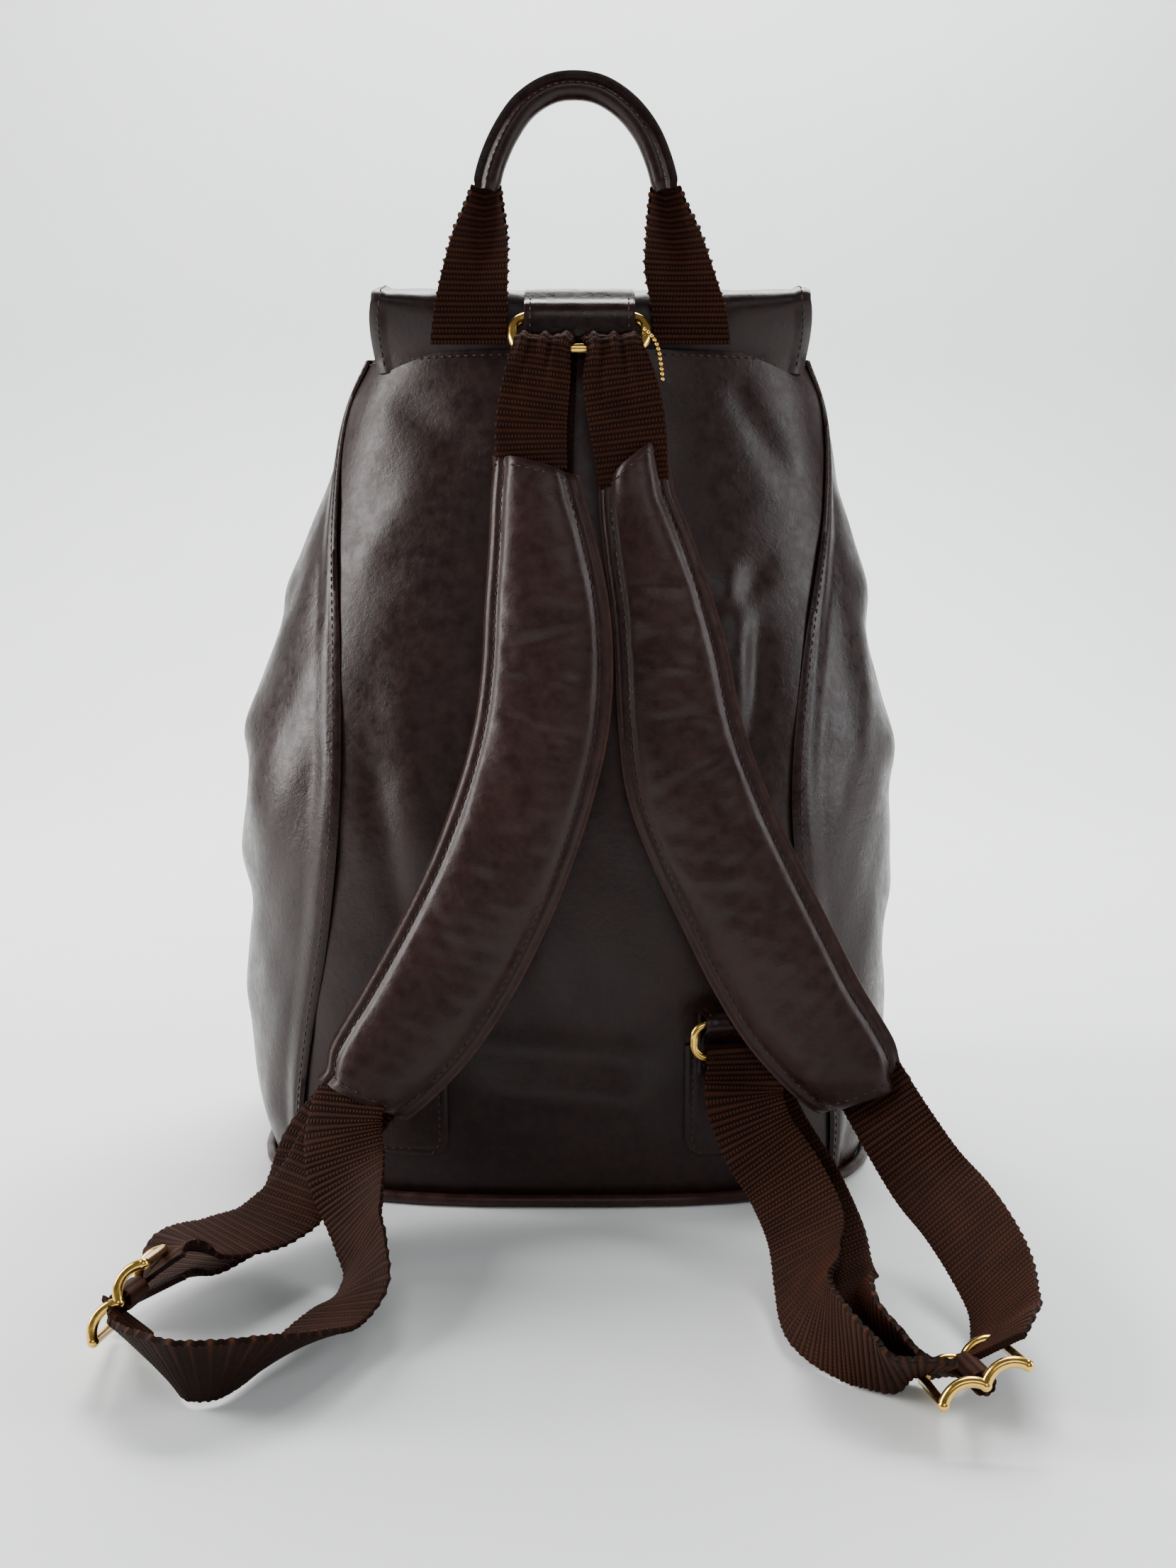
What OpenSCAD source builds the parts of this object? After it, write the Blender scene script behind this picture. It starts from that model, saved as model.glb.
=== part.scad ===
// Leather backpack with two shoulder straps, a top handle and a folding flap.
// Origin: centre of the base on the floor. +Z up, +Y towards the flap's front,
// the shoulder straps are on the -Y side. Millimetres.

/* [Bag body] */
// Height of the top edge of the bag's walls
body_h = 311; // [260:1:360]
// Thickness of the leather of the walls
wall = 2.2; // [1.6:0.1:3]
// Thickness of the base leather
base_t = 3; // [2:0.5:5]

/* [Flap] */
// Half of the flap's width over the top
flap_half_w = 81; // [60:1:100]
// Thickness of the flap leather
flap_t = 1.9; // [1.4:0.1:3]

/* [Handle] */
// Outer radius of the rolled leather grip
grip_r = 5.2; // [4:0.1:8]

/* [Webbing and pads] */
// Half of the width of the webbing
web_hw = 13.5; // [10:0.5:20]
// Thickness of the webbing
web_t = 1.8; // [1.2:0.1:2.5]
// Height of the crown in the middle of a shoulder pad
pad_crown = 4.5; // [2:0.5:8]

/* [Rings and sliders] */
// Radius of the wire of the upper ring
ring_wire_r = 1.9; // [1.5:0.1:2.5]
// Radius of the wire of the two lower rings
low_wire_r = 1.5; // [1.2:0.1:2]
// Radius of the bars of the sliders
bar_r = 1.5; // [1.2:0.1:2]

/* [Hidden] */
// Body sections: z, half width, half depth, centre x, centre y, exponent, seam half width
BODY = [
    [0, 118, 89, 0, 0, 3.2, 101],
    [30, 126, 92, 0, -1, 3.0, 101],
    [60, 129, 94, 0, -1, 2.8, 97],
    [100, 129, 94, 0, -2, 2.6, 90],
    [150, 130, 91, 0, -3, 2.5, 85],
    [200, 121, 82, 2, -5, 2.4, 87],
    [250, 106, 68, 5, -9, 2.3, 92],
    [290, 94, 56, 7, -12, 2.3, 91],
    [312, 86, 50, 8, -13, 2.3, 82]
];
ROWS = [3, 15, 30, 45, 60, 80, 100, 125, 150, 175, 200, 225, 250, 270, 290, 302, body_h];

// Upper ring: centre, drop between its bars, tilt
ring_x = 5;
ring_y = -69.5;
ring_z = 321;
ring_hw = 23.5;
ring_drop = 14.7;
ring_tilt = -35.3;

// Lower rings: distance from the middle, depth, height, turn towards the side
low_x = 62;
low_y = -104.5;
low_z = 73.3;
low_hw = 17;
low_drop = 11.5;
low_turn = 12;

// Shoulder pads: centre x, y, z, width direction, half width
PAD_L = [
    [-10.6, -90, 268, 0.99, -0.12, 0, 13.6],
    [-9.8, -93, 256, 0.99, -0.14, 0, 15.4],
    [-8, -96, 240, 0.99, -0.15, 0, 18],
    [-6.5, -99, 220, 0.99, -0.15, 0, 20.8],
    [-6.2, -101, 200, 0.99, -0.15, 0, 22],
    [-8, -103, 180, 0.99, -0.15, 0, 22.5],
    [-12.5, -105, 160, 0.98, -0.15, -0.06, 22.5],
    [-19, -107, 140, 0.96, -0.13, -0.2, 22.5],
    [-27, -110, 120, 0.93, -0.1, -0.3, 22.5],
    [-38, -112, 98, 0.88, -0.1, -0.42, 22.5],
    [-51, -115, 77, 0.84, -0.1, -0.48, 21.5],
    [-66, -117.5, 58, 0.86, -0.1, -0.4, 18.5],
    [-72, -118, 51, 0.93, -0.1, -0.25, 14]
];
PAD_R = [
    [24.4, -88, 264, 0.99, -0.12, 0, 11.8],
    [25.4, -90, 254, 0.99, -0.14, 0, 12.8],
    [28.8, -93, 240, 0.99, -0.15, 0, 14.8],
    [33.5, -96, 220, 0.99, -0.15, 0, 16.8],
    [37.1, -98, 200, 0.99, -0.15, 0, 18.9],
    [39.6, -100, 180, 0.99, -0.14, 0.05, 20.4],
    [43.8, -102, 160, 0.97, -0.12, 0.15, 22.2],
    [51.5, -105, 140, 0.94, -0.1, 0.25, 22.5],
    [61, -108, 120, 0.9, -0.1, 0.36, 22.5],
    [72, -111.4, 98, 0.85, -0.1, 0.46, 22.5],
    [83, -114.8, 79, 0.82, -0.1, 0.52, 21.5],
    [98, -118.2, 60, 0.84, -0.1, 0.48, 18.5],
    [105, -118.6, 52, 0.9, -0.1, 0.4, 14]
];

// Webbing of the upper ends: both runs round the ring's lower bar
ring_low_y = ring_y + ring_drop * sin(ring_tilt);
ring_low_z = ring_z - ring_drop * cos(ring_tilt);
loop_r = 4.3;
UPPER_L = concat(
    [[-9.5, -84.6, 258, 1, 0, 0, 12.2], [-9, -81, 280, 1, 0, 0, 12]],
    [for (a = [180:-30:0]) [-5.4 - 1.2 * (180 - a) / 180,
        ring_low_y + loop_r * -cos(a), ring_low_z + loop_r * sin(a), 1, 0, 0, 9.3]],
    [[-10, -84, 297, 1, 0, 0, 11.8], [-11.5, -86.4, 282, 1, 0, 0, 12.2],
     [-11.5, -89.4, 270, 0.99, -0.1, 0, 12.2]]
);
UPPER_R = concat(
    [[25, -82.6, 254, 1, 0, 0, 11], [22, -80.6, 280, 1, 0, 0, 12]],
    [for (a = [180:-30:0]) [15.8 + 0.8 * (180 - a) / 180,
        ring_low_y + loop_r * -cos(a), ring_low_z + loop_r * sin(a), 1, 0, 0, 9.2]],
    [[18.8, -84, 298, 1, 0, 0, 12.4], [21.5, -86, 283, 0.99, 0, 0.1, 13],
     [24, -88, 266, 0.99, -0.1, 0.1, 11.8]]
);

// Webbing below the pads: centre x, y, z, width direction, half width
LOWER_L = [
    [-75.1, -122.8, 44.8, 0.93, -0.2, -0.2, web_hw],
    [-75.6, -127.5, 41.6, 0.97, -0.21, 0, web_hw],
    [-73.8, -136.2, 35.3, 0.96, -0.22, 0.1, web_hw],
    [-69.5, -148.5, 27.9, 0.8, -0.52, 0.29, web_hw],
    [-65.8, -160.2, 21.3, 0.6, -0.7, 0.39, web_hw],
    [-63, -172, 16, 0.46, -0.82, 0.34, web_hw],
    [-64, -186, 11, 0.5, -0.84, 0.2, web_hw],
    [-71, -202, 8, 0.62, -0.77, 0.14, web_hw],
    [-80, -224, 6.5, 0.7, -0.7, 0.1, web_hw],
    [-91, -239, 6.3, 0.46, -0.86, 0.22, web_hw],
    [-103, -240, 8.3, 0.25, -0.91, 0.33, web_hw],
    [-113, -231, 9.7, 0.05, -0.94, 0.33, web_hw],
    [-120, -220, 12.2, -0.02, -0.93, 0.36, web_hw]
];
LOWER_R = [
    [108.5, -119.6, 50, 0.8, -0.4, 0.46, web_hw],
    [114, -128, 42, 0.79, -0.3, 0.54, web_hw],
    [121, -143, 32, 0.81, -0.26, 0.52, web_hw],
    [127, -159, 27, 0.8, -0.35, 0.48, web_hw],
    [131, -177, 22, 0.67, -0.56, 0.48, web_hw],
    [132, -195, 18.5, 0.49, -0.65, 0.56, web_hw],
    [129, -210.3, 16.6, 0.3, -0.8, 0.52, web_hw],
    [126.6, -217.3, 17.2, 0.1, -0.88, 0.46, web_hw]
];
// Adjuster webbing: round the lower ring, then to the slider and back
ADJ_L = [
    [-78, -117, 38, 0.7, -0.5, -0.5, web_hw],
    [-82.7, -123.7, 29.6, 0.55, -0.65, -0.5, web_hw],
    [-90.3, -135, 21.1, 0.42, -0.85, -0.3, web_hw],
    [-97.2, -150.1, 18.8, 0.38, -0.91, -0.1, web_hw],
    [-106.8, -166.3, 21.2, 0.3, -0.95, 0, web_hw],
    [-117.6, -182, 24.9, 0.25, -0.95, 0.1, web_hw],
    [-121, -192.9, 20.6, 0.2, -0.95, 0.2, web_hw]
];
ADJ_L2 = [
    [-86, -112.9, 33.8, 0.6, -0.6, -0.5, web_hw],
    [-89.8, -121.1, 25.2, 0.5, -0.7, -0.45, web_hw],
    [-96.4, -132.2, 15.6, 0.4, -0.88, -0.2, web_hw],
    [-105.3, -146.2, 12.8, 0.36, -0.92, 0, web_hw],
    [-114.9, -160.8, 11.3, 0.3, -0.95, 0.1, web_hw],
    [-122.8, -175.7, 12.1, 0.2, -0.95, 0.2, web_hw],
    [-124.2, -182.9, 11.9, 0.15, -0.95, 0.25, web_hw]
];
ADJ_R = [
    [63, -115.5, 47, 0.95, -0.2, 0.1, web_hw],
    [67, -124, 37, 0.9, -0.35, 0.2, web_hw],
    [74, -140, 29, 0.87, -0.38, 0.3, web_hw],
    [78, -160, 22, 0.82, -0.4, 0.4, web_hw],
    [76.4, -180, 16.5, 0.62, -0.52, 0.58, web_hw],
    [74.6, -204.5, 15.4, 0.35, -0.56, 0.74, web_hw],
    [81.7, -224.1, 14.5, 0.16, -0.62, 0.76, web_hw],
    [91.1, -233.5, 12.3, 0.1, -0.7, 0.7, web_hw],
    [97, -234.9, 13.3, 0, -0.8, 0.6, web_hw]
];
ADJ_R2 = [
    [67.5, -110.5, 46, 0.95, -0.1, 0.1, web_hw],
    [72.5, -117, 36, 0.92, -0.2, 0.15, web_hw],
    [80, -135, 26, 0.9, -0.3, 0.2, web_hw],
    [84.5, -160, 17, 0.85, -0.35, 0.3, web_hw],
    [84.4, -184, 11.3, 0.66, -0.6, 0.4, web_hw],
    [84.5, -204.6, 14.1, 0.4, -0.8, 0.4, web_hw],
    [90.4, -220.3, 14.7, 0.2, -0.88, 0.4, web_hw],
    [95.7, -226.9, 11.4, 0, -0.92, 0.36, web_hw]
];

// Sliders: centre, direction of the bars, direction of the length
SLIDE_L = [[-127, -205, 20.5], [0.1, -0.95, 0.3], [0.52, 0.3, 0.8]];
SLIDE_R = [[114, -237, 13], [-0.05, -0.95, 0.3], [0.9, 0.05, 0.42]];

// Handle legs: centre x, y, z, half width, depth of the fold
LEG_L = [
    [-35.2, -63.4, 312.4, 13.4, 0],
    [-34.2, -63.6, 324, 12.8, 0.3],
    [-32.4, -64, 338, 11.4, 1.5],
    [-30.6, -64.6, 350, 9.4, 3],
    [-29, -65.2, 360, 6, 3.6],
    [-28.2, -65.6, 364, 4.6, 3.2]
];
LEG_R = [
    [45.4, -63.4, 312.4, 13.6, 0],
    [44.4, -63.6, 324, 13, 0.3],
    [40.6, -64, 338, 12.2, 1.5],
    [38.6, -64.6, 350, 9.4, 3],
    [36.4, -65.2, 360, 6, 3.6],
    [35.6, -65.6, 364, 4.6, 3.2]
];
// Middle line of the grip in x and z
GRIP = [
    [-28, 365], [-25.6, 374], [-21, 384], [-14.4, 393], [-5.6, 398.6], [3.4, 400],
    [12.6, 398.4], [21.6, 392.6], [28.6, 384], [33, 374], [35.4, 365]
];
grip_y = -66;

// Side line of the flap: y and z, from the hinge over the top and down the front
FLAP = [
    [-50, 335.2], [-40, 337], [-20, 338], [0, 337.6], [20, 335.6], [36, 330],
    [48, 318], [56, 302], [64, 278], [72, 250], [79, 222], [84, 196]
];
// Fixed strip between the walls' top edge and the flap's hinge: y and z
FLAP_BACK = [
    [-60.6, 312.3], [-60.7, 318], [-60.2, 325], [-58.6, 330.4], [-56.6, 332.8], [-54, 334.2]
];
flap_x = 9;
hinge_y = -52;
hinge_z = 334.3;

// Closing strap on the flap's front: x, y, z
TONGUE = [
    [8, 80.4, 226, 1, 0, 0, 11], [7, 87.6, 200, 1, 0, 0, 11],
    [6, 93.4, 176, 1, 0, 0, 11], [5.5, 96, 154, 1, 0, 0, 11], [5, 97, 136, 1, 0, 0, 9]
];

function sgp(v, e) = sign(v) * pow(abs(v), e);
function wall_pt(z, t, d) = let (e = 2 / prof(z, 5)) [
    prof(z, 3) + (prof(z, 1) + d) * sgp(cos(t), e),
    prof(z, 4) + (prof(z, 2) + d) * sgp(sin(t), e), z];
function seam_t(z) = acos(pow(prof(z, 6) / prof(z, 1), prof(z, 5) / 2));
function back_y(x, z, d) = prof(z, 4) - (prof(z, 2) + d)
    * pow(1 - pow(abs(x - prof(z, 3)) / (prof(z, 1) + d), prof(z, 5)), 1 / prof(z, 5));
function flat(a) = [for (r = a) each r];
function unit(v) = v / norm(v);
function ring_pts(a, b, n, m) = [for (i = [0:m - 1]) let (t = 360 * i / m)
    [a * sgp(cos(t), 2 / n), b * sgp(sin(t), 2 / n)]];

// Catmull-Rom curve through the stations, k steps between two of them
function cr(p, k) = let (n = len(p)) concat([for (i = [0:n - 2], j = [0:k - 1])
    let (t = j / k, a = p[max(i - 1, 0)], b = p[i], c = p[i + 1], d = p[min(i + 2, n - 1)])
    0.5 * (2 * b + (c - a) * t + (2 * a - 5 * b + 4 * c - d) * t * t
        + (3 * b - a - 3 * c + d) * t * t * t)], [p[n - 1]]);

BODY_FINE = cr(BODY, 5);
function prof(z, k) = lookup(z, [for (p = BODY_FINE) [p[0], p[k]]]);

// Faces of a thick sheet from two grids of points of r rows and c columns
function sheet_faces(r, c) = let (n = r * c) concat(
    [for (i = [0:r - 2], j = [0:c - 2]) let (a = i * c + j) each
        [[a, a + c, a + c + 1], [a, a + c + 1, a + 1],
         [n + a, n + a + 1, n + a + c + 1], [n + a, n + a + c + 1, n + a + c]]],
    [for (j = [0:c - 2]) let (a = j, b = (r - 1) * c + j) each
        [[a, a + 1, n + a + 1], [a, n + a + 1, n + a],
         [b + 1, b, n + b], [b + 1, n + b, n + b + 1]]],
    [for (i = [0:r - 2]) let (a = i * c, b = i * c + c - 1) each
        [[a + c, a, n + a], [a + c, n + a, n + a + c],
         [b, b + c, n + b + c], [b, n + b + c, n + b]]]
);
module thick_sheet(outer, inner) {
    polyhedron(points = concat(flat(outer), flat(inner)),
        faces = sheet_faces(len(outer), len(outer[0])));
}

// Wall panel between two angles of the body section, as functions of the seam angle
module wall_panel(a0, s0, a1, s1, cols, d0, d1, rows = ROWS) {
    outer = [for (z = rows) let (s = seam_t(z)) [for (j = [0:cols])
        wall_pt(z, (a0 + s0 * s) * (1 - j / cols) + (a1 + s1 * s) * j / cols, d0)]];
    inner = [for (z = rows) let (s = seam_t(z)) [for (j = [0:cols])
        wall_pt(z, (a0 + s0 * s) * (1 - j / cols) + (a1 + s1 * s) * j / cols, d1)]];
    thick_sheet(outer, inner);
}

// Strip swept along stations [x, y, z, width direction, half width]; shape is a closed
// outline of [fraction of the half width, height], counter-clockwise
module band(stations, shape, k = 5) {
    s = cr(stations, k);
    n = len(s);
    m = len(shape);
    c = [for (q = s) [q[0], q[1], q[2]]];
    pts = [for (i = [0:n - 1]) let (
        t = unit(c[min(i + 1, n - 1)] - c[max(i - 1, 0)]),
        w0 = [s[i][3], s[i][4], s[i][5]],
        w = unit(w0 - (w0 * t) * t),
        v = cross(t, w))
        each [for (q = shape) c[i] + w * q[0] * s[i][6] + v * q[1]]];
    faces = concat([[for (j = [0:m - 1]) j]], [[for (j = [m - 1:-1:0]) (n - 1) * m + j]],
        [for (i = [0:n - 2], j = [0:m - 1]) let (a = i * m + j, b = i * m + (j + 1) % m)
            each [[a, a + m, b + m], [a, b + m, b]]]);
    polyhedron(points = pts, faces = faces);
}
WEB = [[-1, -web_t / 2], [1, -web_t / 2], [1, web_t / 2], [-1, web_t / 2]];

// Height of the crown of a pad at fraction s of the half width
function crown(s) = pad_crown * max(0, 1 - pow(abs(s) / 0.86, 4));
SPAN = [-1, -0.84, -0.66, -0.4, 0, 0.4, 0.66, 0.84, 1];
CORE = [-0.8, -0.66, -0.4, 0, 0.4, 0.66, 0.8];
PAD_FRONT = concat([for (s = SPAN) [s, 0.1 + crown(s)]],
    [for (i = [len(SPAN) - 1:-1:0]) [SPAN[i], 1.9 + crown(SPAN[i])]]);
PAD_FOAM = concat([[-0.8, 0.3], [0.8, 0.3]],
    [for (i = [len(CORE) - 1:-1:0]) [CORE[i] * 0.99, 0.5 + max(0, crown(CORE[i]) - 0.7)]]);
PAD_BACK = [[-1.04, -1.7], [1.04, -1.7], [1.04, 0], [-1.04, 0]];

// Wire ring of two bars and four corners, hung from the origin along -Z
module wire_ring(hw, drop, r, rc) {
    for (s = [-1, 1]) {
        translate([s * hw, 0, -drop + rc])
            cylinder(h = drop - 2 * rc, r = r, $fn = 32);
        translate([s * (hw - rc), 0, -rc])
            rotate([90, 0, 0])
                rotate([0, 0, s > 0 ? 0 : 90])
                    rotate_extrude(angle = 90, $fn = 48)
                        translate([rc, 0]) circle(r = r, $fn = 32);
        translate([s * (hw - rc), 0, -drop + rc])
            rotate([90, 0, 0])
                rotate([0, 0, s > 0 ? 270 : 180])
                    rotate_extrude(angle = 90, $fn = 48)
                        translate([rc, 0]) circle(r = r, $fn = 32);
    }
    for (z = [0, -drop])
        translate([-hw + rc, 0, z])
            rotate([0, 90, 0])
                cylinder(h = 2 * (hw - rc), r = r, $fn = 32);
}

// Double-loop slider: three bars along X, two humps on each side rail
slide_hw = 16.2;
slide_hl = 12.4;
hump = 3;
hump_r = (pow(slide_hl / 2, 2) + pow(hump, 2)) / (2 * hump);
hump_a = 2 * asin(slide_hl / 2 / hump_r);
module slider_shape() {
    for (y = [-slide_hl, 0, slide_hl])
        translate([-slide_hw, y, 0])
            rotate([0, 90, 0])
                cylinder(h = 2 * slide_hw, r = bar_r, $fn = 32);
    for (x = [-slide_hw, slide_hw]) {
        for (y = [-slide_hl, 0, slide_hl])
            translate([x, y, 0])
                sphere(r = bar_r * 1.1, $fn = 32);
        for (y = [-slide_hl / 2, slide_hl / 2])
            translate([x, y, hump - hump_r])
                rotate([0, -90, 0])
                    rotate([0, 0, -hump_a / 2])
                        rotate_extrude(angle = hump_a, $fn = 96)
                            translate([hump_r, 0]) circle(r = bar_r, $fn = 32);
    }
}
module place_slider(p) {
    w = unit(p[1]);
    l = unit(p[2] - (p[2] * w) * w);
    n = cross(w, l);
    translate(p[0])
        rotate([atan2(l[2], n[2]), -asin(w[2]), atan2(w[1], w[0])])
            children();
}

leather = [0.22, 0.16, 0.15];
dark = [0.17, 0.12, 0.11];
web = [0.25, 0.13, 0.1];
brass = [0.85, 0.68, 0.33];

module base_panel() {
    color(dark)
        linear_extrude(height = base_t)
            polygon(ring_pts(118.2, 89.2, 3.2, 72));
}
module base_board() {
    color([0.6, 0.5, 0.35])
        translate([0, 0, base_t + 0.1])
            linear_extrude(height = 1.8)
                polygon(ring_pts(114.6, 85.6, 3.2, 64));
}
module base_welt() {
    c = ring_pts(121.8, 92.8, 3.1, 96);
    m = 8;
    n = len(c);
    pts = [for (i = [0:n - 1], j = [0:m - 1])
        let (t = unit(c[(i + 1) % n] - c[(i + n - 1) % n]), a = 360 * j / m)
            [c[i][0] + t[1] * 2 * cos(a), c[i][1] - t[0] * 2 * cos(a), 2.5 + 2 * sin(a)]];
    faces = [for (i = [0:n - 1], j = [0:m - 1]) let (a = i * m + j, b = i * m + (j + 1) % m,
        c2 = ((i + 1) % n) * m + j, d = ((i + 1) % n) * m + (j + 1) % m)
        each [[a, d, c2], [a, b, d]]];
    color(web)
        polyhedron(points = pts, faces = faces);
}
module back_panel() {
    color(leather)
        wall_panel(-179.9, 1, -0.1, -1, 22, 0, -wall);
}
module front_panel() {
    color(leather)
        difference() {
            wall_panel(0.1, 1, 179.9, -1, 22, 0, -wall);
            for (x = [-42, -14, 20, 48])
                translate([x + 4, 20, 297])
                    rotate([-90, 0, 0])
                        cylinder(h = 40, r = 3.2, $fn = 32);
        }
}
module gusset_left() {
    color(leather)
        wall_panel(180, -1, 180, 1, 14, 0, -wall);
}
module gusset_right() {
    color(leather)
        wall_panel(0, -1, 0, 1, 14, 0, -wall);
}
SEAM_ROWS = [6, 15, 30, 45, 60, 80, 100, 125, 150, 175, 200, 225, 250, 270, 290, 300, 309];
module seam_back_left() {
    color(dark)
        wall_panel(-182.5, 1, -178.6, 1, 2, 1.7, 0.1, SEAM_ROWS);
}
module seam_back_right() {
    color(dark)
        wall_panel(-1.4, -1, 2.5, -1, 2, 1.7, 0.1, SEAM_ROWS);
}
module seam_front_left() {
    color(dark)
        wall_panel(178.6, -1, 182.5, -1, 2, 1.7, 0.1, SEAM_ROWS);
}
module seam_front_right() {
    color(dark)
        wall_panel(-2.5, 1, 1.4, 1, 2, 1.7, 0.1, SEAM_ROWS);
}
// Eyelets where a drawstring would pass, each a flanged tube clear of its hole
function front_y(x, z) = prof(z, 4) + prof(z, 2)
    * pow(1 - pow(abs(x - prof(z, 3)) / prof(z, 1), prof(z, 5)), 1 / prof(z, 5));
module mouth_eyelets() {
    color(brass)
        for (x = [-38, -10, 24, 52]) {
            y = front_y(x, 297);
            translate([x, y, 297])
                rotate([-90, 0, 0])
                    difference() {
                        union() {
                            translate([0, 0, -5]) cylinder(h = 7.6, r = 2.9, $fn = 32);
                            translate([0, 0, 2.2]) cylinder(h = 0.8, r = 5, $fn = 32);
                        }
                        translate([0, 0, -6]) cylinder(h = 12, r = 2.3, $fn = 32);
                    }
        }
}

// Outline of the flap: half width at fraction s of its length
function flap_half(s) = s < 0.8 ? flap_half_w + 3 * sin(s * 160)
    : flap_half_w + 2.4 - 26 * (1 - sqrt(max(0, 1 - pow((s - 0.8) / 0.2, 2) * 0.96)));
module flap_sheet(line, s0, s1, k, d0, d1, inset, narrow) {
    p = cr(line, k);
    n = len(p);
    cols = 10;
    rows_out = [for (d = [d0, d1]) [for (i = [0:n - 1]) let (
        t = unit(p[min(i + 1, n - 1)] - p[max(i - 1, 0)]),
        f = s0 + (s1 - s0) * i / (n - 1),
        h = flap_half(f) - inset - narrow * (1 - abs(2 * f - 1)))
        [for (j = [0:cols]) let (u = 2 * j / cols - 1)
            [flap_x + u * h, p[i][0] - t[1] * d, p[i][1] + t[0] * d]]]];
    thick_sheet(rows_out[1], rows_out[0]);
}
// The strip follows the walls' curve at its foot and is straight at the fold
module flap_back() {
    p = cr(FLAP_BACK, 4);
    n = len(p);
    cols = 20;
    rows = [for (d = [flap_t / 2, -flap_t / 2]) [for (i = [0:n - 1]) let (
        t = unit(p[min(i + 1, n - 1)] - p[max(i - 1, 0)]),
        bend = 0.6 * pow(1 - i / (n - 1), 2))
        [for (j = [0:cols]) let (x = (2 * j / cols - 1) * flap_half_w,
            back = back_y(x * 0.96 + flap_x, body_h, 0) - back_y(flap_x, body_h, 0))
            [flap_x + x, p[i][0] - t[1] * d + bend * back, p[i][1] + t[0] * d]]]];
    color(leather)
        thick_sheet(rows[0], rows[1]);
}
module flap() {
    color(leather)
        flap_sheet(FLAP, 0, 1, 2, -flap_t / 2, flap_t / 2, 0, 0);
}
module flap_lining() {
    color([0.32, 0.26, 0.22])
        flap_sheet(FLAP, 0.02, 0.98, 2, -flap_t / 2 - 1, -flap_t / 2 - 0.1, 4, 0);
}
module strap_tongue() {
    color(leather)
        band(TONGUE, [[-1, -1.1], [1, -1.1], [1, 1.1], [-1, 1.1]]);
}
buckle_z = 158;
buckle_y = 100.8;
module buckle_frame() {
    color(brass)
        translate([5.6, buckle_y, buckle_z])
            rotate([2, 0, 0])
                translate([0, 0, 11])
                    wire_ring(15.5, 22, 1.6, 4);
}
module buckle_prong() {
    color(brass)
        translate([5.6, buckle_y, buckle_z])
            rotate([2, 0, 0])
                translate([0, 0, -11])
                    union() {
                        translate([0, 2.75, 0]) cylinder(h = 23, r = 1, $fn = 24);
                        translate([-2.5, 0, 0])
                            rotate([0, 90, 0])
                                difference() {
                                    cylinder(h = 5, r = 2.9, $fn = 32);
                                    translate([0, 0, -1]) cylinder(h = 7, r = 1.8, $fn = 32);
                                }
                    }
}
module strap_keeper() {
    color(dark)
        translate([6.2, 92.2, 182])
            rotate([12.7, 0, 0])
                difference() {
                    cube([26.6, 6.8, 8], center = true);
                    cube([23.4, 3.4, 9], center = true);
                }
}
module snap_stud() {
    color(brass)
        translate([5.6, 92.3, 150])
            rotate([-90, 0, 0])
                cylinder(h = 2.2, r = 8, $fn = 48);
}
module snap_socket() {
    color(brass)
        translate([5.6, 89, 150])
            rotate([-90, 0, 0])
                cylinder(h = 2.6, r = 8.5, $fn = 48);
}
module ring_tab() {
    side = [[-61.9, 312.5], [-61.9, 331.5], [-64.6, 331.8], [-69, 326.4], [-72.6, 324.6],
        [-74, 321], [-73.4, 318], [-71.4, 315.6], [-67, 313.2]];
    color(dark)
        difference() {
            translate([ring_x - 19.6, 0, 0])
                rotate([90, 0, 90])
                    linear_extrude(height = 39.2)
                        polygon(side);
            translate([ring_x - 25, ring_y, ring_z])
                rotate([0, 90, 0])
                    cylinder(h = 50, r = ring_wire_r + 0.7, $fn = 48);
        }
}
module upper_ring() {
    color(brass)
        translate([ring_x, ring_y, ring_z])
            rotate([ring_tilt, 0, 0])
                wire_ring(ring_hw, ring_drop, ring_wire_r, 6);
}

// Handle leg: webbing that folds in half lengthwise towards the grip
module leg(st) {
    s = cr(st, 4);
    n = len(s);
    u = [-1, -0.5, 0, 0.5, 1];
    rows = [for (d = [-web_t / 2, web_t / 2]) [for (q = s) [for (f = u)
        [q[0] + f * q[3], q[1] + d + q[4] * (1 - abs(f)), q[2]]]]];
    thick_sheet(rows[0], rows[1]);
}
module handle_webbing_left() {
    color(web) leg(LEG_L);
}
module handle_webbing_right() {
    color(web) leg(LEG_R);
}
function grip_stations(y) = [for (p = GRIP) [p[0], y, p[1], 0, 1, 0, 1]];
function round_shape(r, m) = [for (i = [0:m - 1]) [r * cos(360 * i / m), r * sin(360 * i / m)]];
module handle_grip() {
    color(leather)
        difference() {
            band(grip_stations(grip_y), round_shape(grip_r, 12), 3);
            band(grip_stations(grip_y), round_shape(grip_r - 1.9, 10), 3);
        }
}
module handle_core() {
    color([0.75, 0.7, 0.6])
        band(grip_stations(grip_y), round_shape(grip_r - 2.2, 10), 3);
}

module left_upper_webbing() {
    color(web) band(UPPER_L, WEB, 3);
}
module left_pad_front() {
    color(leather) band(PAD_L, PAD_FRONT, 2);
}
module left_pad_foam() {
    color([0.75, 0.72, 0.62]) band(PAD_L, PAD_FOAM, 2);
}
module left_pad_back() {
    color(dark) band(PAD_L, PAD_BACK, 2);
}
module left_lower_webbing() {
    color(web) band(LOWER_L, WEB);
}
module left_slider() {
    color(brass) place_slider(SLIDE_L) slider_shape();
}
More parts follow.
